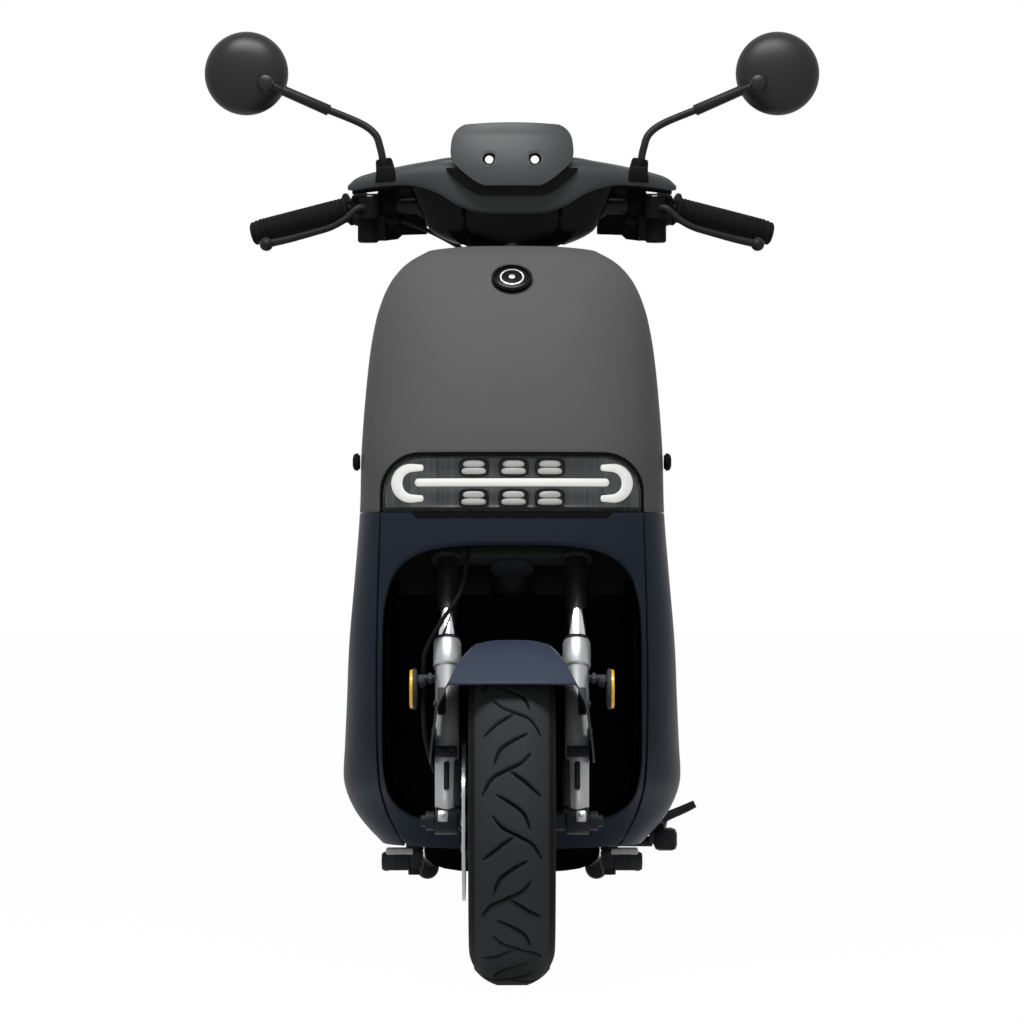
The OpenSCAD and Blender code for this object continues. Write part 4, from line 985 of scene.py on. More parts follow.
@dataclass
class Headlight:
    """The lamp: smoked lens, light guides, six modules and the streaked tray."""

    lens_half: float = 164.6
    corner: float = 48.0
    low: float = 593.0
    top: float = 663.0
    guide_x: float = 127.0
    guide_z: float = 628.5
    guide_r: float = 19.5
    modules: tuple[float, ...] = (-48.5, 2.0, 48.0)

    def half(self, z: float, grow: float = 0.0) -> float:
        """Half width of the lens at a height."""
        over = max(0.0, z - (self.top - self.corner))
        r = self.corner + grow
        return self.lens_half - self.corner + sqrt(max(0.0, r * r - over * over))

    def _heights(self, low: float, top: float, level: float) -> list[float]:
        """Heights of the rows, denser round the corners."""
        up = [level + (top - level) * sin(radians(90 - i * 5)) for i in range(18)]
        return up + [mix(level, low, i / 6) for i in range(7)]

    def lens(self) -> None:
        """The smoked cover lens with a rolled rim."""
        rows = self._heights(self.low, self.top, self.top - self.corner)
        count = len(rows) - 1

        def shape(u: float, v: float) -> Vector:
            """Point of the lens."""
            z, s = rows[round(v * count)], u * 2 - 1
            return SKIN.at(self.half(z) * s, z, 1.6)

        shell("lamp_lens", walled(woven(shape, 80, count, (0, -1, 0)), 1.8, 0.4), "chassis", LENS,
              "headlight_lens")

    def bezel(self) -> None:
        """The gloss black frame between the lens and the shield."""
        level = self.top - self.corner

        def shape(u: float, v: float) -> Vector:
            """Point of the frame."""
            turn = u * 2 - 1
            a = abs(turn)
            if a < 0.55:
                x, z = (self.lens_half - self.corner) * a / 0.55, self.top
                nx, nz = 0.0, 1.0
            elif a < 0.85:
                k = (a - 0.55) / 0.3 * pi / 2
                x = self.lens_half - self.corner + self.corner * sin(k)
                z = level + self.corner * cos(k)
                nx, nz = sin(k), cos(k)
            else:
                x, z = self.lens_half, mix(level, self.low, (a - 0.85) / 0.15)
                nx, nz = 1.0, 0.0
            k = round(v * 5)
            grow, sink = ((-3, 9.0), (0.6, 5.6), (1.2, 3.0), (3.4, 2.9), (5.2, 3.4), (6.4, 4.2))[k]
            x, z = x + nx * grow, z + nz * grow
            return SKIN.at(copysign(min(x, SKIN.width(z) - 0.5), turn), z, sink)

        emit("lamp_bezel", walled(woven(shape, 120, 5, (0, -1, 0)), 1.0, 0.2), "chassis", PIANO,
             "headlight_unit")

    def tray(self) -> None:
        """The smoky tray behind the lens, with fine vertical streaks."""
        rows = [664, 660, 655, 648, 640, 630, 620, 612, 604, 598, 594, 592]
        count = len(rows) - 1

        def shape(u: float, v: float) -> Vector:
            """Point of the tray."""
            z, s = rows[round(v * count)], u * 2 - 1
            edge = min(1.0, (1 - abs(s)) * 9, (665 - z) / 8, (z - 591) / 8)
            return SKIN.at((self.half(min(z, 661)) - 1) * s, z, 7 + 12 * max(0.0, edge) ** 0.6)

        shell("lamp_tray", walled(woven(shape, 90, count, (0, -1, 0)), 1.6, 0.3), "chassis",
              REFLECTOR, "headlight_unit")
        cups = []
        for x in self.modules:
            for z in (648.5, 609.5):
                cups.append(self._cell(x, z, 19.5, 12.0, 14.5, 3.0))
        emit("lamp_cups", joined(cups), "chassis", PIANO, "headlight_unit")

    def _cell(self, x: float, z: float, half_x: float, half_z: float, sink: float,
              rise: float) -> Mesh:
        """A low domed oblong on the tray."""
        def shape(u: float, v: float) -> Vector:
            """Point of the oblong."""
            turn = u * tau
            r = v
            cx = copysign(abs(cos(turn)) ** 0.55, cos(turn))
            cz = copysign(abs(sin(turn)) ** 0.55, sin(turn))
            return SKIN.at(x + half_x * r * cx, z + half_z * r * cz,
                           sink - rise * sqrt(max(0.0, 1 - r ** 3)))

        return woven(shape, 40, 8, (0, -1, 0))

    def lights(self) -> None:
        """The lit bar, the two curved guides and the halves of each module."""
        def bar(u: float, v: float) -> Vector:
            """Point of the straight guide."""
            turn, x = v * tau, mix(-124, 124, u)
            r = 5.0 * min(1.0, sqrt(max(0.0, 1 - ((abs(x) - 119) / 5) ** 2))
                          if abs(x) > 119 else 1.0)
            return SKIN.at(x, 629.3 + r * sin(turn), 8.5 - 2.4 * (r / 5) * cos(turn))

        parts = [closed(woven(bar, 90, 16))]
        for side in (-1, 1):
            def hook(u: float, v: float, side: int = side) -> Vector:
                """Point of a curved guide."""
                k = u * 2 - 1
                straight = 15.0
                arc = self.guide_r * pi
                reach = (arc / 2 + straight) * abs(k)
                if reach < arc / 2:
                    turn = reach / self.guide_r
                    x = self.guide_x + self.guide_r * cos(turn)
                    z = self.guide_r * sin(turn)
                    nx, nz = cos(turn), sin(turn)
                else:
                    x, z = self.guide_x - (reach - arc / 2), self.guide_r
                    nx, nz = 0.0, 1.0
                wide = mix(7.3, 3.6, abs(k) ** 1.3) * (
                    1.0 if abs(k) < 0.95 else sqrt(max(0.0, 1 - ((abs(k) - 0.95) / 0.05) ** 2)))
                turn = v * tau
                off, lift = wide * cos(turn), 2.6 * sin(turn) * (wide / 7.3)
                x, z = x + nx * off, z + nz * off
                return SKIN.at(side * x, self.guide_z + copysign(z, k), 8.0 - lift)

            parts.append(closed(woven(hook, 80, 16)))
        cells = []
        for x in self.modules:
            for low, high, mid in ((648.9, 657.3, 648.0), (609.9, 618.2, 609.0)):
                cells.append(self._half(x, low, high, 13.6, 6.0))
                cells.append(self._half(x, mid - 8.3, mid, 15.4, 3.0))
        emit("lamp_lights", joined(parts), "chassis", LED, "headlight_unit")
        emit("lamp_cells", joined(cells), "chassis", CELL, "headlight_unit")

    def _half(self, x: float, low: float, high: float, half_x: float, round_top: float) -> Mesh:
        """One half of a module: a rounded bar standing off the tray."""
        mid, tall = (low + high) / 2, (high - low) / 2

        def shape(u: float, v: float) -> Vector:
            """Point of the half."""
            turn = u * tau
            cx = copysign(abs(cos(turn)) ** 0.45, cos(turn))
            cz = copysign(abs(sin(turn)) ** 0.6, sin(turn))
            taper = 1 - 0.035 * round_top * max(0.0, cz)
            px, pz = x + half_x * v * cx * taper, mid + tall * v * cz
            return SKIN.at(px, pz, 11.5 - 4.5 * sqrt(max(0.0, 1 - v ** 4)))

        return woven(shape, 36, 6, (0, -1, 0))

    def build(self) -> None:
        """Builds the lamp."""
        self.lens()
        self.bezel()
        self.tray()
        self.lights()


# ---- cockpit
SIDES = (("left", Place.BODY), ("right", Place.BODY_FLIPPED))


@dataclass
class Cockpit:
    """Handlebar cover, skirt, flyscreen, display, grips, switches and levers."""

    half: float = 218.0
    wall: float = 2.6
    grip_r: float = 17.0
    grip_long: float = 131.0
    top: Table = Table(((0, 1046), (45, 1050), (75, 1062), (110, 1058), (146, 1052),
                        (198, 1040), (218, 1030)))
    under: Table = Table(((0, 987), (44, 989), (73, 1001), (100, 1017), (138, 1027),
                          (218, 1021)))
    nose: Table = Table(((0, 332), (80, 342), (140, 362), (190, 382), (218, 396)))
    back: Table = Table(((0, 456), (90, 448), (125, 416), (145, 408), (218, 407)))
    fly: Table = Table(((1022, 36), (1026, 45), (1031, 52.5), (1038, 61), (1046, 70), (1054, 77),
                        (1063, 80.6), (1077, 80.5), (1088, 78.5), (1096, 74.5), (1101, 69),
                        (1104, 62)))

    def _section(self, s: float) -> list[Vector]:
        """Section of the cover at a place across, from the rear over the top."""
        x = abs(s)
        f, r, t, b = self.nose(x), self.back(x), self.top(x), self.under(x)
        g, h = min(12.0, (r - f) * 0.35), t - b
        rows = ((r, b + h * 0.25), (r, t - h * 0.2), (r - g, t), (mix(r, f, 0.5), t + 1),
                (f + g, t - 1), (f + g * 0.3, t - h * 0.25), (f, b + h * 0.4),
                (f + g * 0.2, b), (f + g, b - 1))
        return spline([(s, y, z) for y, z in rows], 5)

    def cover(self) -> None:
        """The painted handlebar cover and its black underside."""
        xs = [self.half * sin(radians(k * 2.5)) for k in range(-36, 37)]
        sections = [self._section(x) for x in xs]
        count = len(sections[0]) - 1

        def shape(u: float, v: float) -> Vector:
            """Point of the cover."""
            i = round(u * (len(xs) - 1))
            p = sections[i][round(v * count)]
            end = max(0.0, (abs(xs[i]) - 208) / 10)
            mid = Vector((p.x, (self.nose(self.half) + self.back(self.half)) / 2, 1025))
            return p.lerp(mid, 0.55 * end * end)

        sheet = woven(shape, len(xs) - 1, count, (0, -0.4, 1))
        shell("cover_skin", walled(sheet, self.wall, 0.6), "steering", COVER, "handlebar_cover")
        foot = plate(((152, 1031), (181, 1030), (179, 1050), (156, 1052)), 366, 416, "Y", 2.5)
        emit("mirror_feet", both(foot), "steering", BLACK, "handlebar_cover")
        places = range(-212, 213, 8)

        def belly(u: float, v: float) -> Vector:
            """Point of the cover's underside."""
            x = places[round(u * (len(places) - 1))]
            a = abs(x)
            f, r, b = self.nose(a), self.back(a), self.under(a)
            g = min(12.0, (r - f) * 0.35)
            low = 7 * min(1.0, max(0.0, a - 118) / 22) * sin(pi * min(1, max(0, v)))
            return Vector((x, mix(f + g * 0.4, r - 1, v), b + 1.6 - low))

        emit("cover_underside", walled(woven(belly, len(places) - 1, 8, (0, 0, -1)), 1.5, 0.3),
             "steering", BLACK, "handlebar_cover")

    def skirt(self) -> None:
        """The gloss black skirt under the cover with its deep middle."""
        wide = Table(((948, 76), (952, 89), (959, 106), (967, 119), (980, 128), (993, 134),
                      (1006, 141), (1030, 151)))
        count = 22

        def shape(u: float, v: float) -> Vector:
            """Point of the skirt, whose top follows the cover's lower edge."""
            a = radians(mix(-72, 72, u))
            share = sin(a) * (1 - 0.06 * sin(a) ** 4)
            top = self.under(abs(wide(1012) * share)) + 1.0
            z = mix(top, 948, v)
            x, y0 = wide(z) * share, 352 + (997 - z) * 0.1
            y = mix(408, y0, cos(a) ** 0.6)
            edge = max(0.0, min(1.0, (66 - (997 - z) * 0.05 - abs(x)) / 5))
            return Vector((x, y + 9 * edge * edge * (3 - 2 * edge), z))

        sheet = woven(shape, 96, count, (0, -1, 0))
        shell("skirt_skin", walled(sheet, self.wall, 0.5), "steering", PIANO, "handlebar_skirt")

    def flyscreen(self) -> None:
        """The small screen with its two screw holes and black seal."""
        zs = [1022 + 82 * i / 34 for i in range(35)]

        def spot(x: float, z: float, back: float = 0.0) -> Vector:
            """Point on the screen's face."""
            top = 3 * (1 - (x / 72) ** 2) if z > 1090 else 0
            lift = max(0.0, min(1.0, (z - 1090) / 8))
            return Vector((x, 314 + ((z - 1022) / 82) ** 1.6 * 26 + 16 * (x / 81) ** 2 + back,
                           z + top * lift))

        def shape(u: float, v: float) -> Vector:
            """Point of the screen."""
            z, s = zs[round(v * 34)], u * 2 - 1
            half = self.fly(z)
            a = abs(s)
            if a <= 0.62:
                x = min(half * 0.96, 46.0 / 0.62 * a) if half > 48 else half * a
            else:
                inner = min(half * 0.96, 46.0) if half > 48 else half * 0.62
                x = mix(inner, half, sin((a - 0.62) / 0.38 * pi / 2))
            return spot(copysign(x, s), z)

        sheet = woven(shape, 80, 34, (0, -1, 0))
        for side in (-1, 1):
            centre = spot(side * 30, 1057)
            near = [v for v in sheet.verts if (v.co.xz - centre.xz).length < 7.4]
            bmesh.ops.delete(sheet, geom=near, context="VERTS")
            rim = [v for v in sheet.verts if v.is_boundary
                   and (v.co.xz - centre.xz).length < 12]
            for v in rim:
                way = v.co.xz - centre.xz
                way = way.normalized() * 7.6
                v.co.x, v.co.z = centre.x + way.x, centre.z + way.y
        shell("flyscreen_skin", walled(sheet, 3, 0.5), "steering", COVER, "flyscreen")
        tubes = []
        for side in (-1, 1):
            c = spot(side * 30, 1057)
            tubes.append(turned(((5.5, 3.2), (7.7, 1.2), (7.9, 0.2), (8.6, 0.6), (8.6, 12),
                                 (5.5, 12)), 40, (0, 1, 0), (c.x, c.y - 0.6, c.z)))
        emit("flyscreen_cups", joined(tubes), "steering", PIANO, "flyscreen")

        def gasket(u: float, v: float) -> Vector:
            """Point of the black seal under the screen's lower edge."""
            z, s = mix(1010, 1047, v), u * 2 - 1
            half = self.fly(z + 11) + 8.5 * min(1.0, (1060 - z) / 14)
            return spot(half * sin(s * pi / 2), max(1022.0, z), 5.5) + Vector(
                (0, 0, min(0.0, z - 1022)))

        emit("flyscreen_seal", walled(woven(gasket, 60, 18, (0, -1, 0)), 3, 0.5), "steering",
             PIANO, "flyscreen")

    def display(self) -> None:
        """The round-ended display with its bezel and dark glass."""
        def oblong(w: float, d: float, n: int = 20) -> list[tuple[float, float]]:
            """Outline of a flat oblong."""
            pts = []
            for k in range(n * 2):
                turn = pi * k / n - pi / 2
                side = 1 if k < n else -1
                pts.append((side * (w - d) + d * cos(turn), d * sin(turn)))
            return pts

        tilt = (Matrix.Translation((0, 422, 1052)) @ Matrix.Rotation(radians(8), 4, "X"))
        body = plate(oblong(60, 23), -3, 5, "Z", 1.6)
        glass = plate(oblong(56, 19.5), 4.6, 5.6, "Z", 0.4)
        shell("display_bezel", moved(body, tilt), "steering", BLACK, "dash_display")
        emit("display_glass", moved(glass, tilt), "steering", SCREEN, "dash_display")

    def _grip(self) -> Mesh:
        """A rubber grip with end rings and fine ribs."""
        r, long = self.grip_r, self.grip_long
        profile = [(11.3, 0.2), (r + 4, 0.2), (r + 5, 1.2), (r + 5, 4.0), (r + 4, 5.2),
                   (r + 0.6, 5.8)]
        z = 7.0
        while z < long - 4:
            ring = z < 24 or z > long - 25
            step, drop = (2.5, 1.5) if ring else (1.5, 0.35)
            profile += [(r, z), (r, z + step), (r - drop, z + step + 0.3),
                        (r - drop, z + step * 2 - 0.3)]
            z += step * 2
        profile += [(r, long - 1.0), (r - 0.8, long), (r - 1.6, long + 1), (r - 1.5, long + 5.6),
                    (r - 3.4, long + 7.4), (0, long + 7.4)]
        return turned(profile, 64)

    def grips(self) -> None:
        """Both grips; the right one turns as the throttle."""
        shell("grip_left_rubber", self._grip(), "steering", RUBBER, "left_grip", Place.LEFT_BAR)
        shell("grip_right_rubber", self._grip(), "throttle", RUBBER, "throttle_grip",
              Place.RIGHT_BAR)

    def _housing(self, left: bool) -> Mesh:
        """A switch housing with the lever's perch and screws."""
        way = Vector((43, 10.7, -0.75)).normalized()
        along_bar = way.to_track_quat("Z", "Y").to_matrix().to_4x4()
        shell = turned(((0, 0), (13, 0), (16.5, 1.5), (19.4, 5), (19.5, 20), (20.6, 22),
                        (20.6, 36), (19.2, 38.6), (18.4, 39.8), (0, 39.8)), 56)
        parts = [
            moved(shell, Matrix.Translation((172, 419.4, 999.7)) @ along_bar),
            rod((152, 414.6, 1000), (173, 419.6, 999.7), 15),
            block((176, 399, 979), (203, 424, 1015), 4),
            block((166, 404, 976), (212, 432, 991), 5),
            turned(((0, 0), (12.6, 0), (13, 0.6), (13, 30), (12.2, 31), (0, 31)), 40,
                   at=(166, 428, 996)),
            turned(((0, 0), (12.2, 0), (13, 1), (13, 27), (12.0, 28), (7, 28), (6.5, 29.6),
                    (0, 29.6)), 40, at=(188, 398, 983)),
            tube([(172, 415, 983), (160, 410, 980), (151, 404, 984)], 6, 16, 5),
            plate(((113, 1027), (113, 965), (146, 964), (152, 958.5), (172, 956),
                   (172, 1026)), 425, 431.5, "Y", 1.5),
            turned(((0, 0), (12, 0), (14, 2), (14, 30), (0, 30)), 40, at=(191, 412, 953)),
            block((168, 405, 956), (196, 428, 985), 4),
            block((180, 428, 1003), (212, 444, 1016), 3) if left
            else block((182, 430, 1004), (210, 446, 1014), 3)]
        parts += [rod((x, 436, 986), (x, 441.5, 986), 2.6, edge=0.3) for x in (182, 204)]
        return joined(parts)

    def switches(self) -> None:
        """Both switch housings, their buttons and the lever pivots."""
        for side, place in SIDES:
            left = side == "left"
            make = shell if left else emit
            make(f"housing_{side}", self._housing(left), "steering", BLACK, "switch_housings",
                 place)
        screws = both(joined([turned(((0, 0), (4.4, 0), (4.9, 0.6), (4.9, 2.6), (4.2, 3.2),
                                      (2.4, 3.2), (2.2, 2.0), (0, 2.0)), 24,
                                     at=(188, 398, 1012.3))]))
        emit("pivot_screws", screws, "steering", ZINC, "switch_housings")
        slider = joined([block((189.6, 440, 1005.4), (200.4, 446.4, 1012.4), 1.4),
                         block((192.4, 445, 1006.6), (197.6, 450, 1011.2), 1.6)])
        shell("turn_slider", slider, "turn_switch_body", GREY_TRIM, "turn_switch")
        horn = turned(((0, 0), (5, 0), (5, 4.6), (4.2, 5.6), (2, 6), (0, 6.1)), 32, (0, 1, 0),
                      (195, 444, 995))
        shell("horn_cap", horn, "horn_body", YELLOW, "horn_button")

    def levers(self) -> None:
        """The brake levers with their ball ends."""
        path = [(190, 394, 997), (204, 387, 996.6), (221, 386, 982), (240, 387.5, 971.5),
                (262, 391, 965), (295, 397, 956.5), (324, 401, 950.5)]

        def lever() -> Mesh:
            """One lever."""
            blade = tube(path, lambda u: 4.7 - 0.9 * sin(u * pi), 20, 8, 1.1)
            boss = turned(((4.2, 0), (10.4, 0), (11, 0.6), (11, 7.2), (10.4, 7.8), (4.2, 7.8)),
                          40, at=(188, 398, 993.1))
            ball = turned([(9 * sin(pi * k / 16), -9 * cos(pi * k / 16))
                           for k in range(17)], 32, (1, 0, 0), (326, 401, 950))
            return joined([blade, boss, ball])

        for side, place in SIDES:
            shell(f"lever_{side}_blade", lever(), f"lever_{side}", STEEL_BLACK,
                  f"brake_lever_{side}", place)

    def build(self) -> None:
        """Builds the cockpit."""
        self.cover()
        self.skirt()
        self.flyscreen()
        self.display()
        self.grips()
        self.switches()
        self.levers()


@dataclass
class Mirrors:
    """The two round mirrors on their bent arms."""

    radius: float = 56.0
    centre: tuple[float, float, float] = (355.5, 450, 1182.4)
    path: tuple[tuple[float, float, float], ...] = (
        (170.5, 428, 1054), (172.5, 428, 1066), (175.5, 429, 1080), (182.5, 432, 1098.5),
        (203, 437, 1114), (250, 440, 1133.5))

    def _arm(self) -> Mesh:
        """A mirror arm with its rubber boot, sleeve and ball."""
        return joined([
            tube(self.path, 5, 20, 8),
            rod((244, 440.4, 1130.9), (306, 436.4, 1157.7), 7.5, 6.9),
            rod((303, 436.6, 1156.4), (328.5, 435, 1167.4), 4.5),
            rod((166, 428, 1014), (166, 428, 1030), 5)])

    def _boot(self) -> Mesh:
        """The boot at the foot of an arm."""
        foot = turned(((5.2, 0), (15.2, 0), (15.6, 1.2), (14.4, 7.8), (13.2, 8.6), (5.2, 8.6)),
                      40, at=(166, 428, 1027.3))
        sleeve = turned(((5.2, 0), (13.4, 0), (13.0, 14), (11.2, 28), (10.2, 30.2), (9, 30.9),
                         (5.2, 31)), 40, (5, 0, 30), (166, 428, 1035))
        return joined([foot, sleeve])

    def _head(self) -> Mesh:
        """A mirror's domed back, rim and knuckle."""
        r = self.radius
        back = turned(((0, -16.5), (r * 0.2, -16.2), (r * 0.45, -14.2), (r * 0.65, -10.8),
                       (r * 0.8, -6.6), (r * 0.92, -0.5), (r * 0.985, 6), (r, 11), (r, 14.2),
                       (r - 0.8, 15), (r - 2.6, 15), (r - 3.4, 14), (r - 4, 9), (0, 9)), 96)
        back.transform(Matrix.Translation(self.centre) @ Matrix.Rotation(-pi / 2, 4, "X"))
        cx, cy, cz = self.centre
        knuckle = turned(((0, -1), (6, -0.6), (9.6, 1.4), (10.8, 4.5), (11, 9), (11, 17),
                          (0, 17)), 40, (0, 1, 0), (cx - 27, cy - 25, cz - 15))
        return joined([back, knuckle])

    def build(self) -> None:
        """Builds both mirrors."""
        for side, place in SIDES:
            body = f"mirror_arm_{side[0]}"
            shell(f"mirror_{side}_arm", self._arm(), body, STEEL_BLACK, f"mirror_arm_{side}",
                  place)
            emit(f"mirror_{side}_boot", self._boot(), body, BLACK, f"mirror_arm_{side}", place)
            head = f"mirror_head_{side[0]}"
            shell(f"mirror_{side}_shell", self._head(), head, MIRROR_BACK, f"mirror_head_{side}",
                  place)
            glass = turned(((0, 8.6), (self.radius - 4.2, 8.6), (self.radius - 3.6, 9.4),
                            (self.radius - 4.4, 11), (0, 12.4)), 72)
            glass.transform(Matrix.Translation(self.centre)
                            @ Matrix.Rotation(-pi / 2, 4, "X"))
            emit(f"mirror_{side}_glass", glass, head, MIRROR, f"mirror_head_{side}", place)


# ---- fork and front wheel
@dataclass
class Fork:
    """Tubes, yoke, lower legs, fender, caliper, reflectors and the brake hose."""

    leg_x: float = 82.0
    tube_r: float = 14.0
    fender_low: Table = Table(((51, 380), (55, 378.5), (62, 369), (70, 352), (80, 326),
                               (90, 303), (105, 284), (116, 277), (128, 296)))
    fender_half: Table = Table(((270, 104.5), (286, 103.6), (304, 101.5), (324, 98.6),
                                (347, 95), (362, 89.5), (380, 79), (392, 73), (403, 66.5),
                                (413, 59), (422, 50), (428, 42), (431, 34)))
    hose: tuple[tuple[float, float, float], ...] = (
        (-151.5, 30, 881), (-135, 31, 875), (-110, 35, 866), (-84, 39, 853), (-60, 33, 832),
        (-53, 24, 805), (-52, 8, 775), (-52, -8, 745), (-52, -13, 700), (-52, -14, 640),
        (-52, -14, 580), (-52, -14, 520), (-52, -20, 460), (-52, -30, 410), (-54, -36, 375),
        (-58, -38, 340), (-66, -34, 300), (-90, -26, 262), (-110, -6, 230), (-112, 16, 190),
        (-111, 36, 140), (-102, 56, 104), (-92, 64, 86))

    def steering(self) -> None:
        """The sliding tubes, the yoke and the stem."""
        t = self.tube_r
        tube = turned(((t - 3, 151), (t, 151), (t, 384), (t - 3, 384)), 48,
                      at=(self.leg_x, 0, 0))
        # The chrome tubes are painted dark as a stand-in for their reflection of the dark well.
        shell("fork_tubes", both(tube), "steering", CHROME_PAINTED_DARK, "steering_stem", Place.FORK)
        clamp = turned(((t, 361), (t + 6.4, 361), (t + 8, 363), (t + 8, 389), (t + 6.6, 391),
                        (0, 391)), 40, at=(self.leg_x, 0, 0))
        bolt = rod((self.leg_x + 4, -20, 376), (self.leg_x + 4, -26, 376), 5)
        parts = [both(joined([clamp, bolt])),
                 block((-self.leg_x, -15, 364), (self.leg_x, 21, 388), 4),
                 rod((0, 25, 361), (0, 25, 391), 28), rod((0, 25, 385), (0, 25, 819), 14)]
        emit("fork_yoke", joined(parts), "steering", CAST_BLACK, "steering_stem", Place.FORK)

    def legs(self) -> None:
        """The lower legs with collars, slots, clamps and axle lugs, a chrome cone on each tube as
        painted highlight, and black blocks on the legs' inner sides as painted shade.
        """
        t, x = self.tube_r, self.leg_x
        leg = turned(((0, 6), (t - 2, 6), (t - 0.4, 8), (t + 0.4, 24), (t + 1.0, 80),
                      (t + 1.3, 110), (t + 1.3, 206), (t + 1.8, 209), (t + 3.6, 210.5),
                      (t + 4.2, 213), (t + 3.8, 244), (t + 2.8, 246.6), (t + 0.1, 247),
                      (t + 0.1, 60), (0, 60)), 56, at=(x, 0, 0))
        dust = turned(((t + 0.1, 247.3), (t + 2.2, 247.3), (t + 2.4, 249.4), (t + 1.4, 251),
                       (t + 0.1, 251.6)), 48, at=(x, 0, 0))
        # Painted highlight: a chrome cone above the dust seal stands in for the bright reflection
        # on each slider tube.
        cone = turned(((t + 0.1, 251.4), (t + 2.0, 251.4), (t + 1.8, 258), (t + 0.5, 286),
                       (t + 0.1, 289)), 48, at=(x, 0, 0))
        emit("fork_highlight_cones", both(cone), "fork", CHROME, "fork_lowers", Place.FORK)
        # The black block on each leg's inner side is painted shade over the part of the silver leg
        # that falls in shadow.
        lug = joined([rod((x - 14, 0, 0), (x + 14, 0, 0), 17),
                      block((x - 19, -14, 14), (x - 9.5, 10, 79), 3)])
        emit("fork_lugs_and_shade_blocks", both(lug), "fork", CAST_BLACK, "fork_lowers", Place.FORK)
        shell("fork_legs", both(leg), "fork", SILVER, "fork_lowers", Place.FORK)
        slots = joined([
            block((x - 3.6, -18.4, 36), (x + 3.6, -13.5, 74), 3, segments=4),
            block((x - 13, -19.5, 80), (x + 14, -14.4, 95), 2.2),
            rod((x - 8, -20, 88), (x - 8, -23.4, 88), 4.2, sides=6),
            rod((x + 8, -20, 88), (x + 8, -23.4, 88), 4.2, sides=6),
            rod((x + 14.4, 0, 120), (x + 19, 0, 120), 8),
            block((x + 1.5, -17.8, 138), (x + 11.5, -14.3, 176), 1.6),
            rod((x + 13.6, -9, 156), (x + 17.5, -9, 156), 4.6, sides=6),
            rod((x + 14.4, 0, 196), (x + 20, 0, 196), 5)])
        emit("fork_brackets", both(joined([slots, dust])), "fork", CAST_BLACK, "fork_lowers",
             Place.FORK)
        nuts = both(joined([
            turned(((7.6, 0), (11.5, 0), (12, 0.8), (12, 8), (11, 9), (7.6, 9)), 6, (1, 0, 0),
                   (x + 16, 0, 0)),
            turned(((0, 0), (7.4, 0), (7.4, 6), (6.4, 7.6), (0, 7.8)), 32, (1, 0, 0),
                   (x + 24.4, 0, 0)),
            block((x - 13, -6, -14), (x + 13, 8, -6), 2)]))
        emit("axle_nuts", nuts, "fork", CAST_BLACK, "front_axle", Place.FORK)
        clamps = both(joined([block((x - 3, -23.5, -9), (x + 11, -14, 5), 2.6),
                              rod((x + 4, -22, -2), (x + 4, -25.2, -2), 3.4, sides=6)]))
        emit("axle_clamps", clamps, "fork", ZINC, "front_axle", Place.FORK)

    def _fender(self, angle: float, k: float) -> Vector:
        """Point of the fender at an angle round the axle and a signed place across."""
        turn = radians(angle)
        top = 205 + 226 * sin(turn)
        low = min(top, self.fender_low(angle))
        a = abs(k) / 8
        brink = self.fender_half(top)
        if a <= 0.5:
            x, z = brink * a * 2, top - min(2.5, (top - low) * 0.5) * (a * 2) ** 4
        else:
            share = (a - 0.5) * 2
            z = mix(top - min(2.5, (top - low) * 0.5), low, share ** 1.25)
            x = self.fender_half(z)
        ahead = (z - 205) / tan(turn)
        return Vector((copysign(x, k), -ahead, z - 205))

    def fender(self) -> None:
        """The navy front fender with its clearance slots for the legs."""
        count = 66

        def shape(u: float, v: float) -> Vector:
            """Point of the fender."""
            return self._fender(mix(51, 128, v), (u * 2 - 1) * 8)

        def keep(u: float, v: float) -> bool:
            """Leaves the slots around the legs open."""
            a, k = mix(51, 128, v), abs(u * 2 - 1) * 8
            return not (108 < a < 124 and 4 < k < 7.2)

        sheet = woven(shape, 96, count, (0, -0.5, 1), keep)
        # The fender's lighter navy is painted light.
        shell("fender_skin", walled(sheet, 2.6, 0.7), "fork", NAVY_LIT_COPY, "front_fender",
              Place.FRONT_HUB)

    def brake(self) -> None:
        """The caliper with its bridge, bolts and hose union."""
        x = -self.leg_x
        parts = [block((x - 10, 37, 48.5), (-66.5, 80, 81.5), 5, segments=3),
                 block((-57.6, 37, 48.5), (-50.5, 80, 81.5), 3.2, segments=3),
                 block((-72, 62, 72), (-52, 80, 86), 3.5),
                 turned(((0, 0), (13.4, 0), (15, 1.6), (15, 12), (13.6, 14), (6, 14), (5, 12.6),
                         (0, 12.6)), 40, (-1, 0, 0), (x + 3, 66, 66)),
                 rod((x - 4, 46, 56), (x - 13, 46, 56), 4.4, sides=6),
                 rod((-92, 64, 88), (-92, 64, 78), 6.5)]
        shell("caliper_body", joined(parts), "fork", CAST_BLACK, "front_caliper", Place.FORK)

    def reflectors(self) -> None:
        """The amber side reflectors on their posts."""
        disc = turned(((0, 0), (23.6, 0), (24.6, -0.4), (24.6, -3.8), (23.4, -4.8), (0, -5.2)), 56,
                      (-1, 0, 0), (124.6, 0, 181))
        rim = turned(((0, -5.6), (20, -5.6), (24.6, -4.4), (26, -2.4), (26, 0), (25.6, 0.5),
                      (24.8, 0.2), (24.8, -2.4), (0, -2.6)), 56, (1, 0, 0), (125, 0, 181))
        post = joined([rod((102, 0, 196), (119.4, 0, 196), 4.6),
                       rod((101.6, 0, 196), (106, 0, 196), 7.6, sides=6),
                       rod((112, 0, 194), (120, 0, 190), 8)])
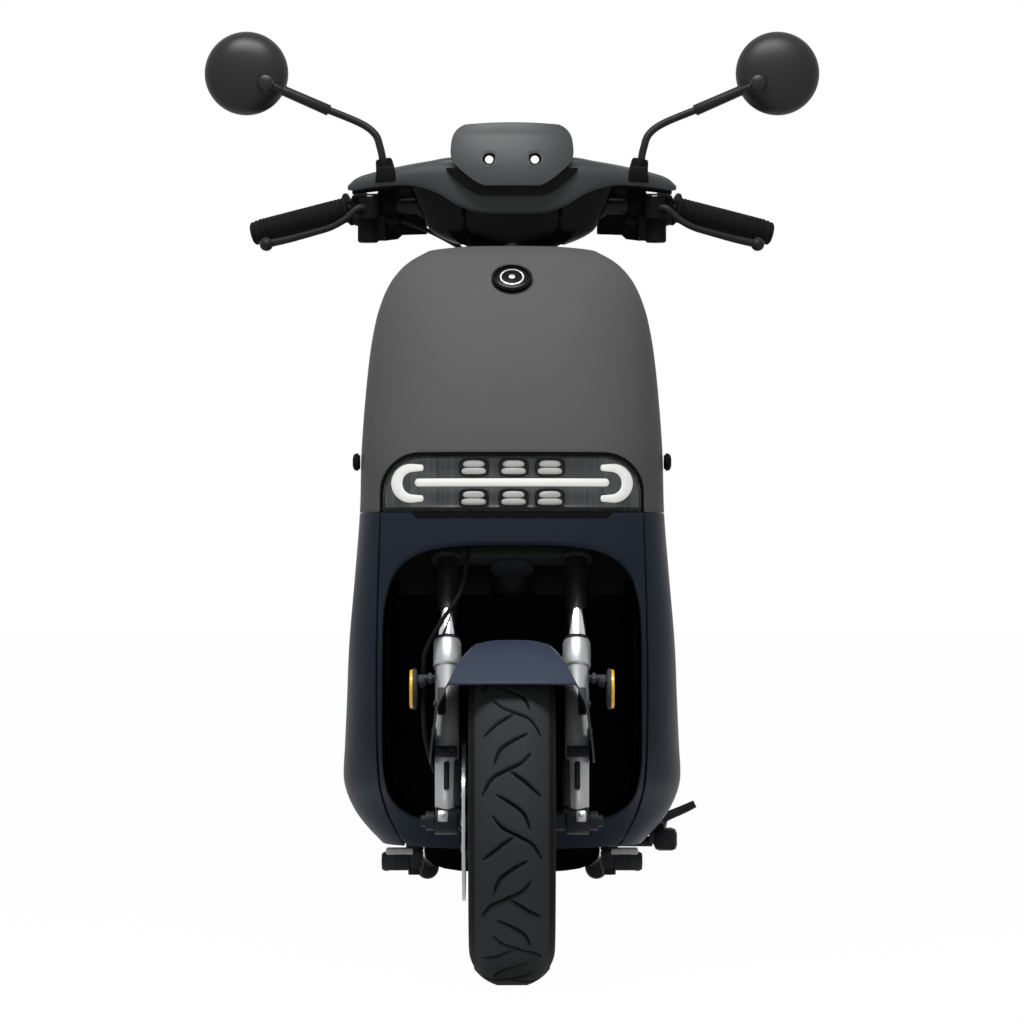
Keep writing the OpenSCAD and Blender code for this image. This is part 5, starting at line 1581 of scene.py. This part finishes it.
        # The amber lenses glow as painted light.
        shell("reflector_lenses", both(disc), "fork", AMBER, "side_reflectors", Place.FORK)
        emit("reflector_backs", both(joined([rim, post])), "fork", GREY_TRIM, "side_reflectors",
             Place.FORK)

    def brake_line(self) -> None:
        """The brake hose from the right lever to the caliper."""
        path = spline(self.hose, 4)
        bm = tube(self.hose, 3.0, 14, 4)
        obj = shell("brake_hose_tube", bm, "steering", HOSE, "brake_hose", Place.FORK)

    def build(self) -> None:
        """Builds the fork."""
        self.steering()
        self.legs()
        self.fender()
        self.brake()
        self.reflectors()
        self.brake_line()


@dataclass
class Wheel:
    """A tyre with cut tread grooves, its rim and its bolts."""

    name: str
    body: str
    place: Place
    radius: float
    width: float
    bead: float = 127.0
    cells: int = 16
    groove: float = 3.6
    shoulder: float = 45.0
    flat: float = 18.0
    slashes: tuple[tuple[tuple[float, float], ...], ...] = (
        ((-22.8, -25.9), (-11.7, -12.6), (8.8, -1.6), (24.6, 7.9), (35.7, 26.9)),
        ((0, 0), (-14.9, 11), (-34.8, 28.4)),
        ((18.3, 28.4), (-0.6, 39.5), (-14.9, 52.1), (-21.8, 71.1)))

    def _profile(self) -> list[Vector]:
        """Half section of the tyre from the bead to the crown: radius and half width."""
        w, b, r = self.width, self.bead, self.radius
        be = self.shoulder / sqrt(1 - (self.flat / (w / 2)) ** 2)
        t1 = acos(self.flat / (w / 2))
        side = [(b - 3, 0.30 * w), (b, 0.37 * w), (b + 5, 0.385 * w), (b + 9, 0.385 * w),
                (b + 12, 0.40 * w), (b + 15, 0.43 * w), (b + 20, 0.462 * w), (b + 24, 0.48 * w),
                (b + 26, 0.478 * w), (b + 28, 0.486 * w)]
        crown = []
        for k in range(31):
            t = t1 * k / 30
            rr, x = r - self.shoulder + be * sin(t), w / 2 * cos(t)
            step = 1.3 if x > w * 0.435 else 0.0
            crown.append((rr - step * 0.6, x - step))
        crown = [q for q in crown if q[0] > b + 30]
        flat = [(r, self.flat - self.flat * k / 8) for k in range(1, 9)]
        return [Vector((q[0], q[1], 0)) for q in side + crown + flat]

    def _depths(self, x: np.ndarray, s: np.ndarray) -> np.ndarray:
        """Groove depth share at places across and along the tread."""
        pitch = self.radius * tau / self.cells
        cell = np.floor(s / pitch)
        out = np.zeros_like(x)
        for curve in self.slashes:
            pts = spline([(px, ps, 0) for px, ps in curve], 6)
            n = len(pts) - 1
            for near in (-1, 0, 1):
                k = cell + near
                flip = np.where(np.mod(k, 2) == 0, 1.0, -1.0)
                lx, ls = x * flip, s - k * pitch
                for i in range(n):
                    a, b = pts[i], pts[i + 1]
                    dx, ds = b.x - a.x, b.y - a.y
                    u = np.clip(((lx - a.x) * dx + (ls - a.y) * ds) / (dx * dx + ds * ds), 0, 1)
                    far = np.hypot(lx - a.x - u * dx, ls - a.y - u * ds)
                    t = (i + u) / n
                    wide = 0.5 + 1.4 * (1 - np.abs(2 * t - 1) ** 2.5)
                    out = np.maximum(out, np.clip((wide + 0.9 - far) / 1.4, 0, 1))
        return out

    def tyre(self) -> None:
        """The tyre, with painted shade in its grooves and on its flanks."""
        half = self._profile()
        line = half + [Vector((p.x, -p.y, 0)) for p in reversed(half[:-1])]
        count = len(line) - 1
        around = 720
        bm = bmesh.new()
        # The groove layer carries painted shade: the grooves and the side-facing flanks are
        # darkened in the colour.
        layer = bm.verts.layers.float.new("groove")
        bmesh.ops.create_grid(bm, x_segments=around, y_segments=count, size=0.5)
        verts = bm.verts[:]
        turn = np.array([(v.co.x + 0.5) * tau for v in verts])
        row = np.array([round((v.co.y + 0.5) * count) for v in verts])
        rad, x = (np.array([p[k] for p in line])[row] for k in (0, 1))
        s = -turn * self.radius
        depth = self._depths(x, s + self.radius * radians(-3))
        depth = depth * (rad > self.bead + 40)
        rad = rad - depth * self.groove
        for v, a, r, px in zip(verts, turn, rad, x):
            v.co = (px, -r * cos(a), r * sin(a))
        # Painted shade on the flanks, which face away from the light.
        flank_shade = np.clip((np.abs(x) - self.width * 0.405) / 2.5, 0, 0.8)
        for v, d, f in zip(verts, depth, flank_shade):
            v[layer] = float(max(d, f))
        bmesh.ops.remove_doubles(bm, verts=bm.verts, dist=0.001)
        loops = [e for e in bm.edges if e.is_boundary]
        bmesh.ops.bridge_loops(bm, edges=loops)
        bmesh.ops.recalc_face_normals(bm, faces=bm.faces)
        shell(f"{self.name}_tyre_tread", bm, self.body, TYRE, f"{self.name}_tyre", self.place, 60)

    def barrel(self) -> Mesh:
        """The rim's rolled barrel."""
        b, w = self.bead, self.width
        half = [(b + 11, 0.385 * w + 5), (b + 12, 0.385 * w + 3.6), (b + 12, 0.385 * w + 0.6),
                (b - 0.4, 0.385 * w), (b - 0.6, 0.27 * w), (b - 8, 0.24 * w), (b - 15, 0.2 * w)]
        inner = [(b - 5, 0.385 * w + 5), (b - 7, 0.36 * w), (b - 8, 0.27 * w), (b - 20, 0.18 * w)]
        line = half + [(r, -x) for r, x in reversed(half)]
        line += [(r, -x) for r, x in inner] + [(r, x) for r, x in reversed(inner)]
        return turned(line, 96, (1, 0, 0))

    def front_rim(self) -> None:
        """The front wheel's cast rim with five split spokes."""
        parts = [self.barrel(),
                 turned(((8, -50), (26, -50), (30, -46), (30, -12), (34, -9), (34, 9), (30, 12),
                         (30, 46), (26, 50), (8, 50)), 56, (1, 0, 0)),
                 turned(((30, -58), (43, -58), (46, -56), (46, -50), (30, -48)), 56, (1, 0, 0))]
        for k in range(5):
            turn = Matrix.Rotation(tau * k / 5, 4, "X")
            for side in (-1, 1):
                spoke = tube([(0, side * 8, 26), (6, side * 11, 52), (8, side * 15, 84),
                              (2, side * 22, 116)], lambda u: 11 - 2 * u, 16, 5, 0.62)
                parts.append(moved(spoke, turn))
            parts.append(moved(block((-7, -13, 26), (7, 13, 60), 4), turn))
        shell("front_wheel_rim", joined(parts), self.body, CAST_BLACK, "front_rim", self.place)
        valve = rod((12, 0, 116), (26, 0, 98), 3.2)
        emit("front_wheel_valve", valve, self.body, BLACK, "front_rim", self.place)
        bolts = [moved(rod((-58, 38, 0), (-63.4, 38, 0), 4.6, sides=6),
                       Matrix.Rotation(tau * k / 6, 4, "X")) for k in range(6)]
        emit("front_disc_bolts", joined(bolts), self.body, ZINC, "front_disc", self.place)

    def rear_hub(self) -> None:
        """The rear rim with the hub motor's covers, fins and bolts."""
        parts = [self.barrel(),
                 turned(((8, -66), (54, -66), (60, -62), (60, -52), (86, -50), (92, -46),
                         (92, -16), (119, -15), (119, 15), (92, 16), (92, 46), (86, 50),
                         (60, 52), (60, 62), (54, 66), (8, 66)), 80, (1, 0, 0))]
        fin = block((-49, -1.6, 62), (49, 1.6, 95), 0.8)
        parts.append(copies(fin, (Matrix.Rotation(tau * k / 30, 4, "X")
                                  for k in range(30))))
        shell("rear_hub_body", joined(parts), self.body, CAST_BLACK, "hub_motor", self.place)
        bolts = [moved(rod((s * 52, 74, 0), (s * 55.4, 74, 0), 3.6, sides=6),
                       Matrix.Rotation(tau * (k + 0.5) / 8, 4, "X"))
                 for k in range(8) for s in (-1, 1)]
        emit("rear_hub_bolts", joined(bolts), self.body, ZINC, "hub_motor", self.place)


# ---- studio
@dataclass
class Studio:
    """Camera, lamps, world and floor."""

    distance: float = 6.5
    height: float = 0.531
    lens: float = 182.8
    rise: float = 0.0469
    shine: float = 0.9
    surround: float = 0.05
    floor_white: float = 0.985

    def camera(self) -> None:
        """The level camera in front of the scooter."""
        data = bpy.data.cameras.new("Camera")
        data.lens, data.sensor_width = self.lens, 36.0
        data.shift_y = self.rise
        data.clip_end = 100
        obj = bpy.data.objects.new("Camera", data)
        obj.matrix_world = (Matrix.Translation((0, FRONT_AXLE.y / 1000 - self.distance,
                                                self.height))
                            @ Matrix.Rotation(pi / 2, 4, "X"))
        bpy.context.scene.collection.objects.link(obj)
        bpy.context.scene.camera = obj

    def lamp(self, name: str, spot: Numbers, aim: Numbers, size: float,
             high: float, power: float) -> bpy.types.Object:
        """A soft lamp aimed at a point."""
        data = bpy.data.lights.new(name, "AREA")
        data.shape, data.size, data.size_y, data.energy = "RECTANGLE", size, high, power
        obj = bpy.data.objects.new(name, data)
        way = Vector(aim) - Vector(spot)
        obj.matrix_world = (Matrix.Translation(spot)
                            @ way.to_track_quat("-Z", "Y").to_matrix().to_4x4())
        bpy.context.scene.collection.objects.link(obj)
        return obj

    def world(self) -> None:
        """A white surround that cameras and reflections see, dim as light."""
        world = bpy.data.worlds.new("Studio")
        world.use_nodes = True
        bpy.context.scene.world = world
        net = Wiring(world.node_tree)
        path = net.add("LightPath").outputs
        seen = net.maths("MAXIMUM", path["Is Camera Ray"], path["Is Transmission Ray"])
        shine = net.maths("MULTIPLY", path["Is Glossy Ray"], self.shine)
        seen = net.maths("MAXIMUM", seen, shine)
        net.feed(net.nodes["Background"], Color=(1, 1, 1, 1),
                 Strength=net.maths("MAXIMUM", seen, self.surround))

    def floor(self) -> None:
        """The pale floor, which keeps a faint shadow."""
        bm = bmesh.new()
        bmesh.ops.create_grid(bm, x_segments=4, y_segments=4, size=30)
        mesh = bpy.data.meshes.new("Floor")
        bm.to_mesh(mesh)
        bm.free()
        obj = bpy.data.objects.new("Floor", mesh)
        bpy.context.scene.collection.objects.link(obj)
        mat = bpy.data.materials.new("Pale floor")
        mat.use_nodes = True
        net = Wiring(mat.node_tree)
        plain = net.nodes["Principled BSDF"]
        net.feed(plain, Base_Color=(0.8, 0.8, 0.8, 1), Roughness=0.9, Specular_IOR_Level=0.0)
        path = net.add("LightPath").outputs
        seen = net.maths("MAXIMUM", path["Is Camera Ray"], path["Is Transmission Ray"])
        seen = net.maths("MAXIMUM", seen, path["Is Glossy Ray"])
        blend = net.add("MixShader", Fac=net.maths("MULTIPLY", seen, self.floor_white))
        net.links.new(plain.outputs["BSDF"], blend.inputs[1])
        net.links.new(net.add("Emission").outputs["Emission"], blend.inputs[2])
        net.feed(net.nodes["Material Output"], Surface=blend.outputs["Shader"])
        mesh.materials.append(mat)

    def build(self) -> None:
        """Sets the studio up."""
        self.camera()
        self.world()
        self.floor()
        y = FRONT_AXLE.y / 1000
        self.lamp("Key", (-0.25, y - 1.15, 3.45), (0, y + 0.05, 0.75), 2.4, 1.2, 165)
        fill = self.lamp("Front fill", (0.0, y - 4.5, 1.2), (0, y, 0.7), 1.4, 1.4, 36)
        fill.visible_glossy = False
        bpy.context.scene.view_settings.view_transform = "Standard"


# ---- seat and rear body
@dataclass
class Seat:
    """The sewn seat, blown up by cloth simulation, with its stitches."""

    stations: tuple[tuple[float, float, float], ...] = (
        (709, 96, 6), (716, 116, 24), (738, 132, 42), (800, 140, 50), (900, 142, 48),
        (1000, 142, 50), (1100, 140, 62), (1200, 134, 66), (1280, 120, 60), (1318, 100, 44),
        (1332, 82, 16))
    floor: float = 721.6
    shrink: float = 0.985
    pressure: float = 3.0
    cap: float = 0.007
    voxel: float = 0.006
    frames: int = 20
    channels: tuple[float, float] = (1010.0, 1120.0)
    channel_half: float = 4.5
    stitch_off: float = 6.5
    padding: float = 0.75

    def _point(self, s: float, turn: float) -> Vector:
        """Point of the cushion at a station and a turn of its section."""
        y, half, high = (Table(tuple((i, q[k]) for i, q in enumerate(self.stations)))(s)
                         for k in range(3))
        c, n = cos(turn), sin(turn)
        up = 0.35 + (0.65 * n ** 0.8 if n > 0 else -0.35 * abs(n) ** 0.4)
        x = half * copysign(abs(c) ** 0.6, c)
        return Vector((x, y, self.floor + high * up))

    def cushion(self) -> bpy.types.Object:
        """The cushion with two sewn cross channels and a waisted side."""
        last = len(self.stations) - 1

        def shape(u: float, v: float) -> Vector:
            """Point of the cushion, a little smaller than the finished one."""
            p = self._point(u * last, v * tau)
            mid = Vector((0, 1020, 745))
            return mid + (p - mid) * self.shrink

        bm = closed(woven(shape, 90, 64))
        obj = shell("seat_cushion_pad", bm, "seat", LEATHER, "seat_cushion")
        self._inflate(obj)
        self._sew(obj)
        return obj

    def _inflate(self, obj: bpy.types.Object) -> None:
        """Blows the pad up from inside and keeps each point near its start.

        Args:
            obj: the pad.
        """
        scene = bpy.context.scene
        bpy.context.view_layer.objects.active = obj
        remesh = obj.modifiers.new("Remesh", "REMESH")
        remesh.mode, remesh.voxel_size = "VOXEL", self.voxel
        bpy.ops.object.modifier_apply(modifier=remesh.name)
        rest = np.array([v.co[:] for v in obj.data.vertices])
        cloth = obj.modifiers.new("Cloth", "CLOTH")
        cloth.settings.use_pressure = True
        cloth.settings.uniform_pressure_force = self.pressure
        cloth.settings.effector_weights.gravity = 0
        cloth.point_cache.frame_start, cloth.point_cache.frame_end = 1, self.frames
        for step in range(1, self.frames + 1):
            scene.frame_set(step)
        graph = bpy.context.evaluated_depsgraph_get()
        soft = np.array([v.co[:] for v in obj.evaluated_get(graph).data.vertices])
        obj.modifiers.remove(cloth)
        scene.frame_set(1)
        move = soft - rest
        far = np.linalg.norm(move, axis=1, keepdims=True)
        move *= np.minimum(1, self.cap / np.maximum(far, 1e-9))
        flat = rest[:, 2] < (self.floor + 4) / 1000
        move[flat, 2] = 0
        obj.data.vertices.foreach_set("co", (rest + move).astype(np.float32).ravel())
        for face in obj.data.polygons:
            face.use_smooth = True
        obj.data.update()

    def _sew(self, obj: bpy.types.Object) -> None:
        """Presses the sewn channels and the side welt into the pad."""
        for v in obj.data.vertices:
            p = v.co * 1000
            y = p.y - FRONT_AXLE.y
            up = (p.z - self.floor) / 60
            for line in self.channels:
                off = (y - self._bowed(line, p.x)) / self.channel_half
                press = exp(-off ** 2) * max(0.0, min(1.0, (up - 0.3) * 3))
                v.co.z -= self.channel_half / 1000 * press
            welt = exp(-((p.z - self._welt(y)) / 2.6) ** 2)
            side = min(1.0, abs(p.x) / 90)
            v.co.x -= copysign(0.0022 * welt * side, p.x)
        smooth = obj.modifiers.new("Subdivision", "SUBSURF")
        smooth.levels = smooth.render_levels = 1

    @staticmethod
    def _bowed(line: float, x: float) -> float:
        """Where a bowed cross line runs at a place across."""
        return line + 18 * (x / 140) ** 2

    def _welt(self, y: float) -> float:
        """Height of the side seam along the seat."""
        return 752 + 6 * sin((y - 720) / 600 * pi)

    def seams(self) -> None:
        """Stitches along the two cross channels."""
        parts = []
        for line in (c + d for c in self.channels for d in (-self.stitch_off, self.stitch_off)):
            for k in range(-13, 14):
                x = k * 8.4
                y = self._bowed(line, x)
                z = self._crown(x, y)
                parts.append(tube([(x - 2.4, y, z - 0.4), (x, y, z + 0.5), (x + 2.4, y, z - 0.4)],
                                  0.55, 6, 2))
        emit("seat_stitches", joined(parts), "seat", THREAD, "seat_cushion")

    def _crown(self, x: float, y: float) -> float:
        """Height of the pad's top at a place."""
        ys = [q[0] for q in self.stations]
        s = float(np.interp(y, ys, range(len(ys))))
        half = float(np.interp(s, range(len(ys)), [q[1] for q in self.stations]))
        c = min(0.999, abs(x) / half) ** (1 / 0.6)
        return self._point(s, acos(c)).z

    def build(self) -> None:
        """Builds the seat."""
        self.cushion()
        self.seams()


@dataclass
class RearBody:
    """Side covers, tail lamp and indicators."""

    wall: float = 2.6
    plan: tuple[tuple[float, float], ...] = (
        (690, 104), (700, 128), (720, 140), (780, 150), (900, 160), (1020, 165), (1140, 163),
        (1260, 151), (1360, 134), (1430, 120), (1465, 78))
    low: Table = Table(((690, 236), (800, 256), (980, 300), (1100, 420), (1250, 520),
                        (1465, 600)))

    def covers(self) -> None:
        """The painted body around the battery and under the seat."""
        half = [(0, 688), (55, 688)] + [(x, y) for y, x in self.plan]
        loop = half + [(0, 1474)] + [(-x, y) for x, y in reversed(half[1:])]
        line = spline([(x, y, 0) for x, y in loop], 6, True)
        line.append(line[0].copy())
        ups = [i / 30 for i in range(31)] + [1.02, 1.05, 1.1]

        def shape(u: float, v: float) -> Vector:
            """Point of the covers."""
            q = line[round(u * (len(line) - 1))]
            k = ups[round(v * (len(ups) - 1))]
            zb, zt = self.low(q.y), 712 + max(0.0, q.y - 1000) * 0.06
            base = 1 - 0.06 * (1 - min(k, 1)) ** 2 - (0.15 * (min(k, 1) - 0.8) if k > 0.8 else 0)
            f = mix(base, 0.9, min(1.0, (k - 1) / 0.1)) if k > 1 else base
            y = (q.y - 1080) * mix(f, 0.97, max(0.0, (k - 1) / 0.1)) + 1080 if k > 1 else (
                q.y - 1080) * f + 1080
            z = zt + 3 * min(1.0, (k - 1) / 0.03) if k > 1 else mix(zb, zt, k)
            crease = exp(-((k - 0.52) / 0.022) ** 2)
            return Vector((q.x * (f - 0.012 * crease), y, z))

        sheet = woven(shape, len(line) - 1, len(ups) - 1)
        side = sum((f.normal.x * f.calc_center_median().x for f in sheet.faces), 0.0)
        if side < 0:
            bmesh.ops.reverse_faces(sheet, faces=sheet.faces)
        shell("rear_covers", walled(sheet, self.wall, 0.5), "chassis", SHIELD, "rear_panels")

    def lamps(self) -> None:
        """The tail lamp and the two indicators."""
        case = block((-54, 1471.5, 642), (54, 1488, 690), 7, segments=4)
        glass = block((-50, 1482, 646), (50, 1491.5, 686), 5, segments=4)
        shell("tail_case", case, "chassis", BLACK, "rear_lights")
        emit("tail_glass", glass, "chassis", RED, "rear_lights")
        stalk = tube([(124.4, 1400, 655), (131, 1402, 653.5), (138, 1404, 652)], 5.2, 18, 4)
        cup = turned(((0, -12), (9, -12), (15.5, -7), (16.6, 0), (16.6, 4), (0, 4)), 40,
                     (0, 1, 0), (147, 1405, 651))
        dome = turned(((15.6, 4.2), (15.8, 6), (13.4, 11), (8, 15), (0, 16.6)), 40, (0, 1, 0),
                      (147, 1405, 651))
        emit("indicator_cups", both(joined([stalk, cup])), "chassis", BLACK, "rear_lights")
        emit("indicator_domes", both(closed(dome)), "chassis", CLEAR_AMBER, "rear_lights")

    def build(self) -> None:
        """Builds the rear body."""
        self.covers()
        self.lamps()


@dataclass
class Underneath:
    """Springs, stands and footpegs."""

    upper: Vector = field(default_factory=lambda: Vector((118, WHEELBASE - 90, 596)))
    lower: Vector = field(default_factory=lambda: Vector((118, WHEELBASE - 18, 262)))
    turns: int = 8

    def springs(self) -> None:
        """The coil springs, on the upper shock body."""
        way = (self.lower - self.upper).normalized()
        long = (self.lower - self.upper).length - 72
        start = self.upper + way * 34
        side = way.orthogonal().normalized()
        other = way.cross(side)
        pts = []
        count = self.turns * 16
        for k in range(count + 1):
            a = tau * self.turns * k / count
            pts.append(start + way * (long * k / count)
                       + (side * cos(a) + other * sin(a)) * 19.5)
        coil = tube(pts, 3.4, 12, 2)
        obj = shell("shock_coils", both(coil), "shock_upper", SPRING, "shock_springs")
        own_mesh(obj)

    def stands(self) -> None:
        """The side stand and the centre stand."""
        side = joined([
            turned(((7.1, -6), (13, -6), (14, -5), (14, 5), (13, 6), (7.1, 6)), 40, (1, 0, 0),
                   (198, 470, 165)),
            tube([(199.6, 479, 164), (200, 510, 160), (201.5, 560, 162), (204, 592, 170),
                  (207, 612, 180)], 7, 24, 8),
            tube([(204, 600, 176), (214, 602, 182), (233, 604, 190), (250, 604, 198)],
                 lambda u: 7.8 - 1.4 * u ** 3, 20, 6, 0.8),
            block((190, 453, 142), (221, 486, 172), 7)])
        shell("side_stand_leg", side, "stand_side", STEEL_BLACK, "side_stand")
        half = joined([
            turned(((8.1, -10), (13, -10), (14, -9), (14, 9), (13, 10), (8.1, 10)), 40,
                   (1, 0, 0), (118, 925, 160)),
            tube([(118, 936, 155), (118, 962, 141), (118, 1010, 110), (118, 1062, 86)], 9, 24,
                 8),
            rod((122.5, 1044, 84), (122.5, 1096, 83), 16, edge=6)])
        cross = rod((-118, 990, 122), (118, 990, 122), 7)
        shell("centre_stand_legs", joined([both(half), cross]), "stand_centre", STEEL_BLACK,
              "centre_stand")

    def pegs(self) -> None:
        """The folding footpegs: grey body with a rounded end, and an alloy top plate, light in
        itself and made lighter still as painted light.
        """
        for side, place in SIDES:
            body = f"peg_{side[0]}"
            hinge = turned(((5.1, 0), (11, 0), (12, 1), (12, 22), (11, 23), (5.1, 23)), 40,
                           at=(132, 560, 113.3))
            rubber = [block((138, 547, 110), (170, 573, 133), 4),
                      turned(((0, -4.4), (9, -4.4), (13, -2), (13.4, 3), (11, 7.6), (0, 8.4)), 40,
                             (1, 0, 0), (169, 560, 122))]
            rubber += [block((x, 546, 111), (x + 2.2, 574, 132), 0.7) for x in (146, 152, 158)]
            shell(f"footpeg_{side}", joined([hinge] + rubber), body, GREY_TRIM, f"peg_{side}",
                  place)
            # The top plate's light colour is partly painted light.
            emit(f"footpeg_{side}_top", block((134, 546, 131.5), (171, 572, 140.5), 2.4), body,
                 PEG_PLATE_PAINTED_LIGHT, f"peg_{side}", place)

    def build(self) -> None:
        """Builds what is under the body."""
        self.springs()
        self.stands()
        self.pegs()


CAD_FINISHES: dict[str, Finish] = {
    "frame": STEEL_BLACK, "head_bearings": ZINC, "under_tray": INSIDE_SHADED, "battery": BATTERY,
    "storage_tub": BLACK, "seat_base": BLACK, "key_switch": ZINC, "handlebar": STEEL_BLACK,
    "front_axle": CAST_BLACK, "rear_axle": ZINC, "front_disc": DISC, "rear_disc": DISC,
    "swingarm": STEEL_BLACK, "shock_bodies": STEEL_BLACK, "shock_rods": CHROME,
    "rear_caliper": CAST_BLACK, "grab_rail": BLACK, "rear_fender": BLACK,
}


def dress_frame() -> None:
    """Gives the CAD nodes that stay in view their finishes."""
    for node, finish in CAD_FINISHES.items():
        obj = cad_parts[node]
        obj.data.materials.clear()
        obj.data.materials.append(finish.material())
        LOG.info("%s: kept, %s", node, finish.name)


def main() -> None:
    """Builds the scooter."""
    logging.basicConfig(level=logging.INFO, format="%(name)s %(message)s", stream=sys.stdout)
    Studio().build()
    Fork().build()
    FrontBody().build()
    Headlight().build()
    Cockpit().build()
    Mirrors().build()
    front = Wheel("front", "front_wheel", Place.FRONT_HUB, 205.0, 110.0)
    front.tyre()
    front.front_rim()
    rear = Wheel("rear", "rear_wheel", Place.REAR_HUB, 208.0, 120.0)
    rear.tyre()
    rear.rear_hub()
    Seat().build()
    RearBody().build()
    Underneath().build()
    dress_frame()


if __name__ == "__main__":
    main()
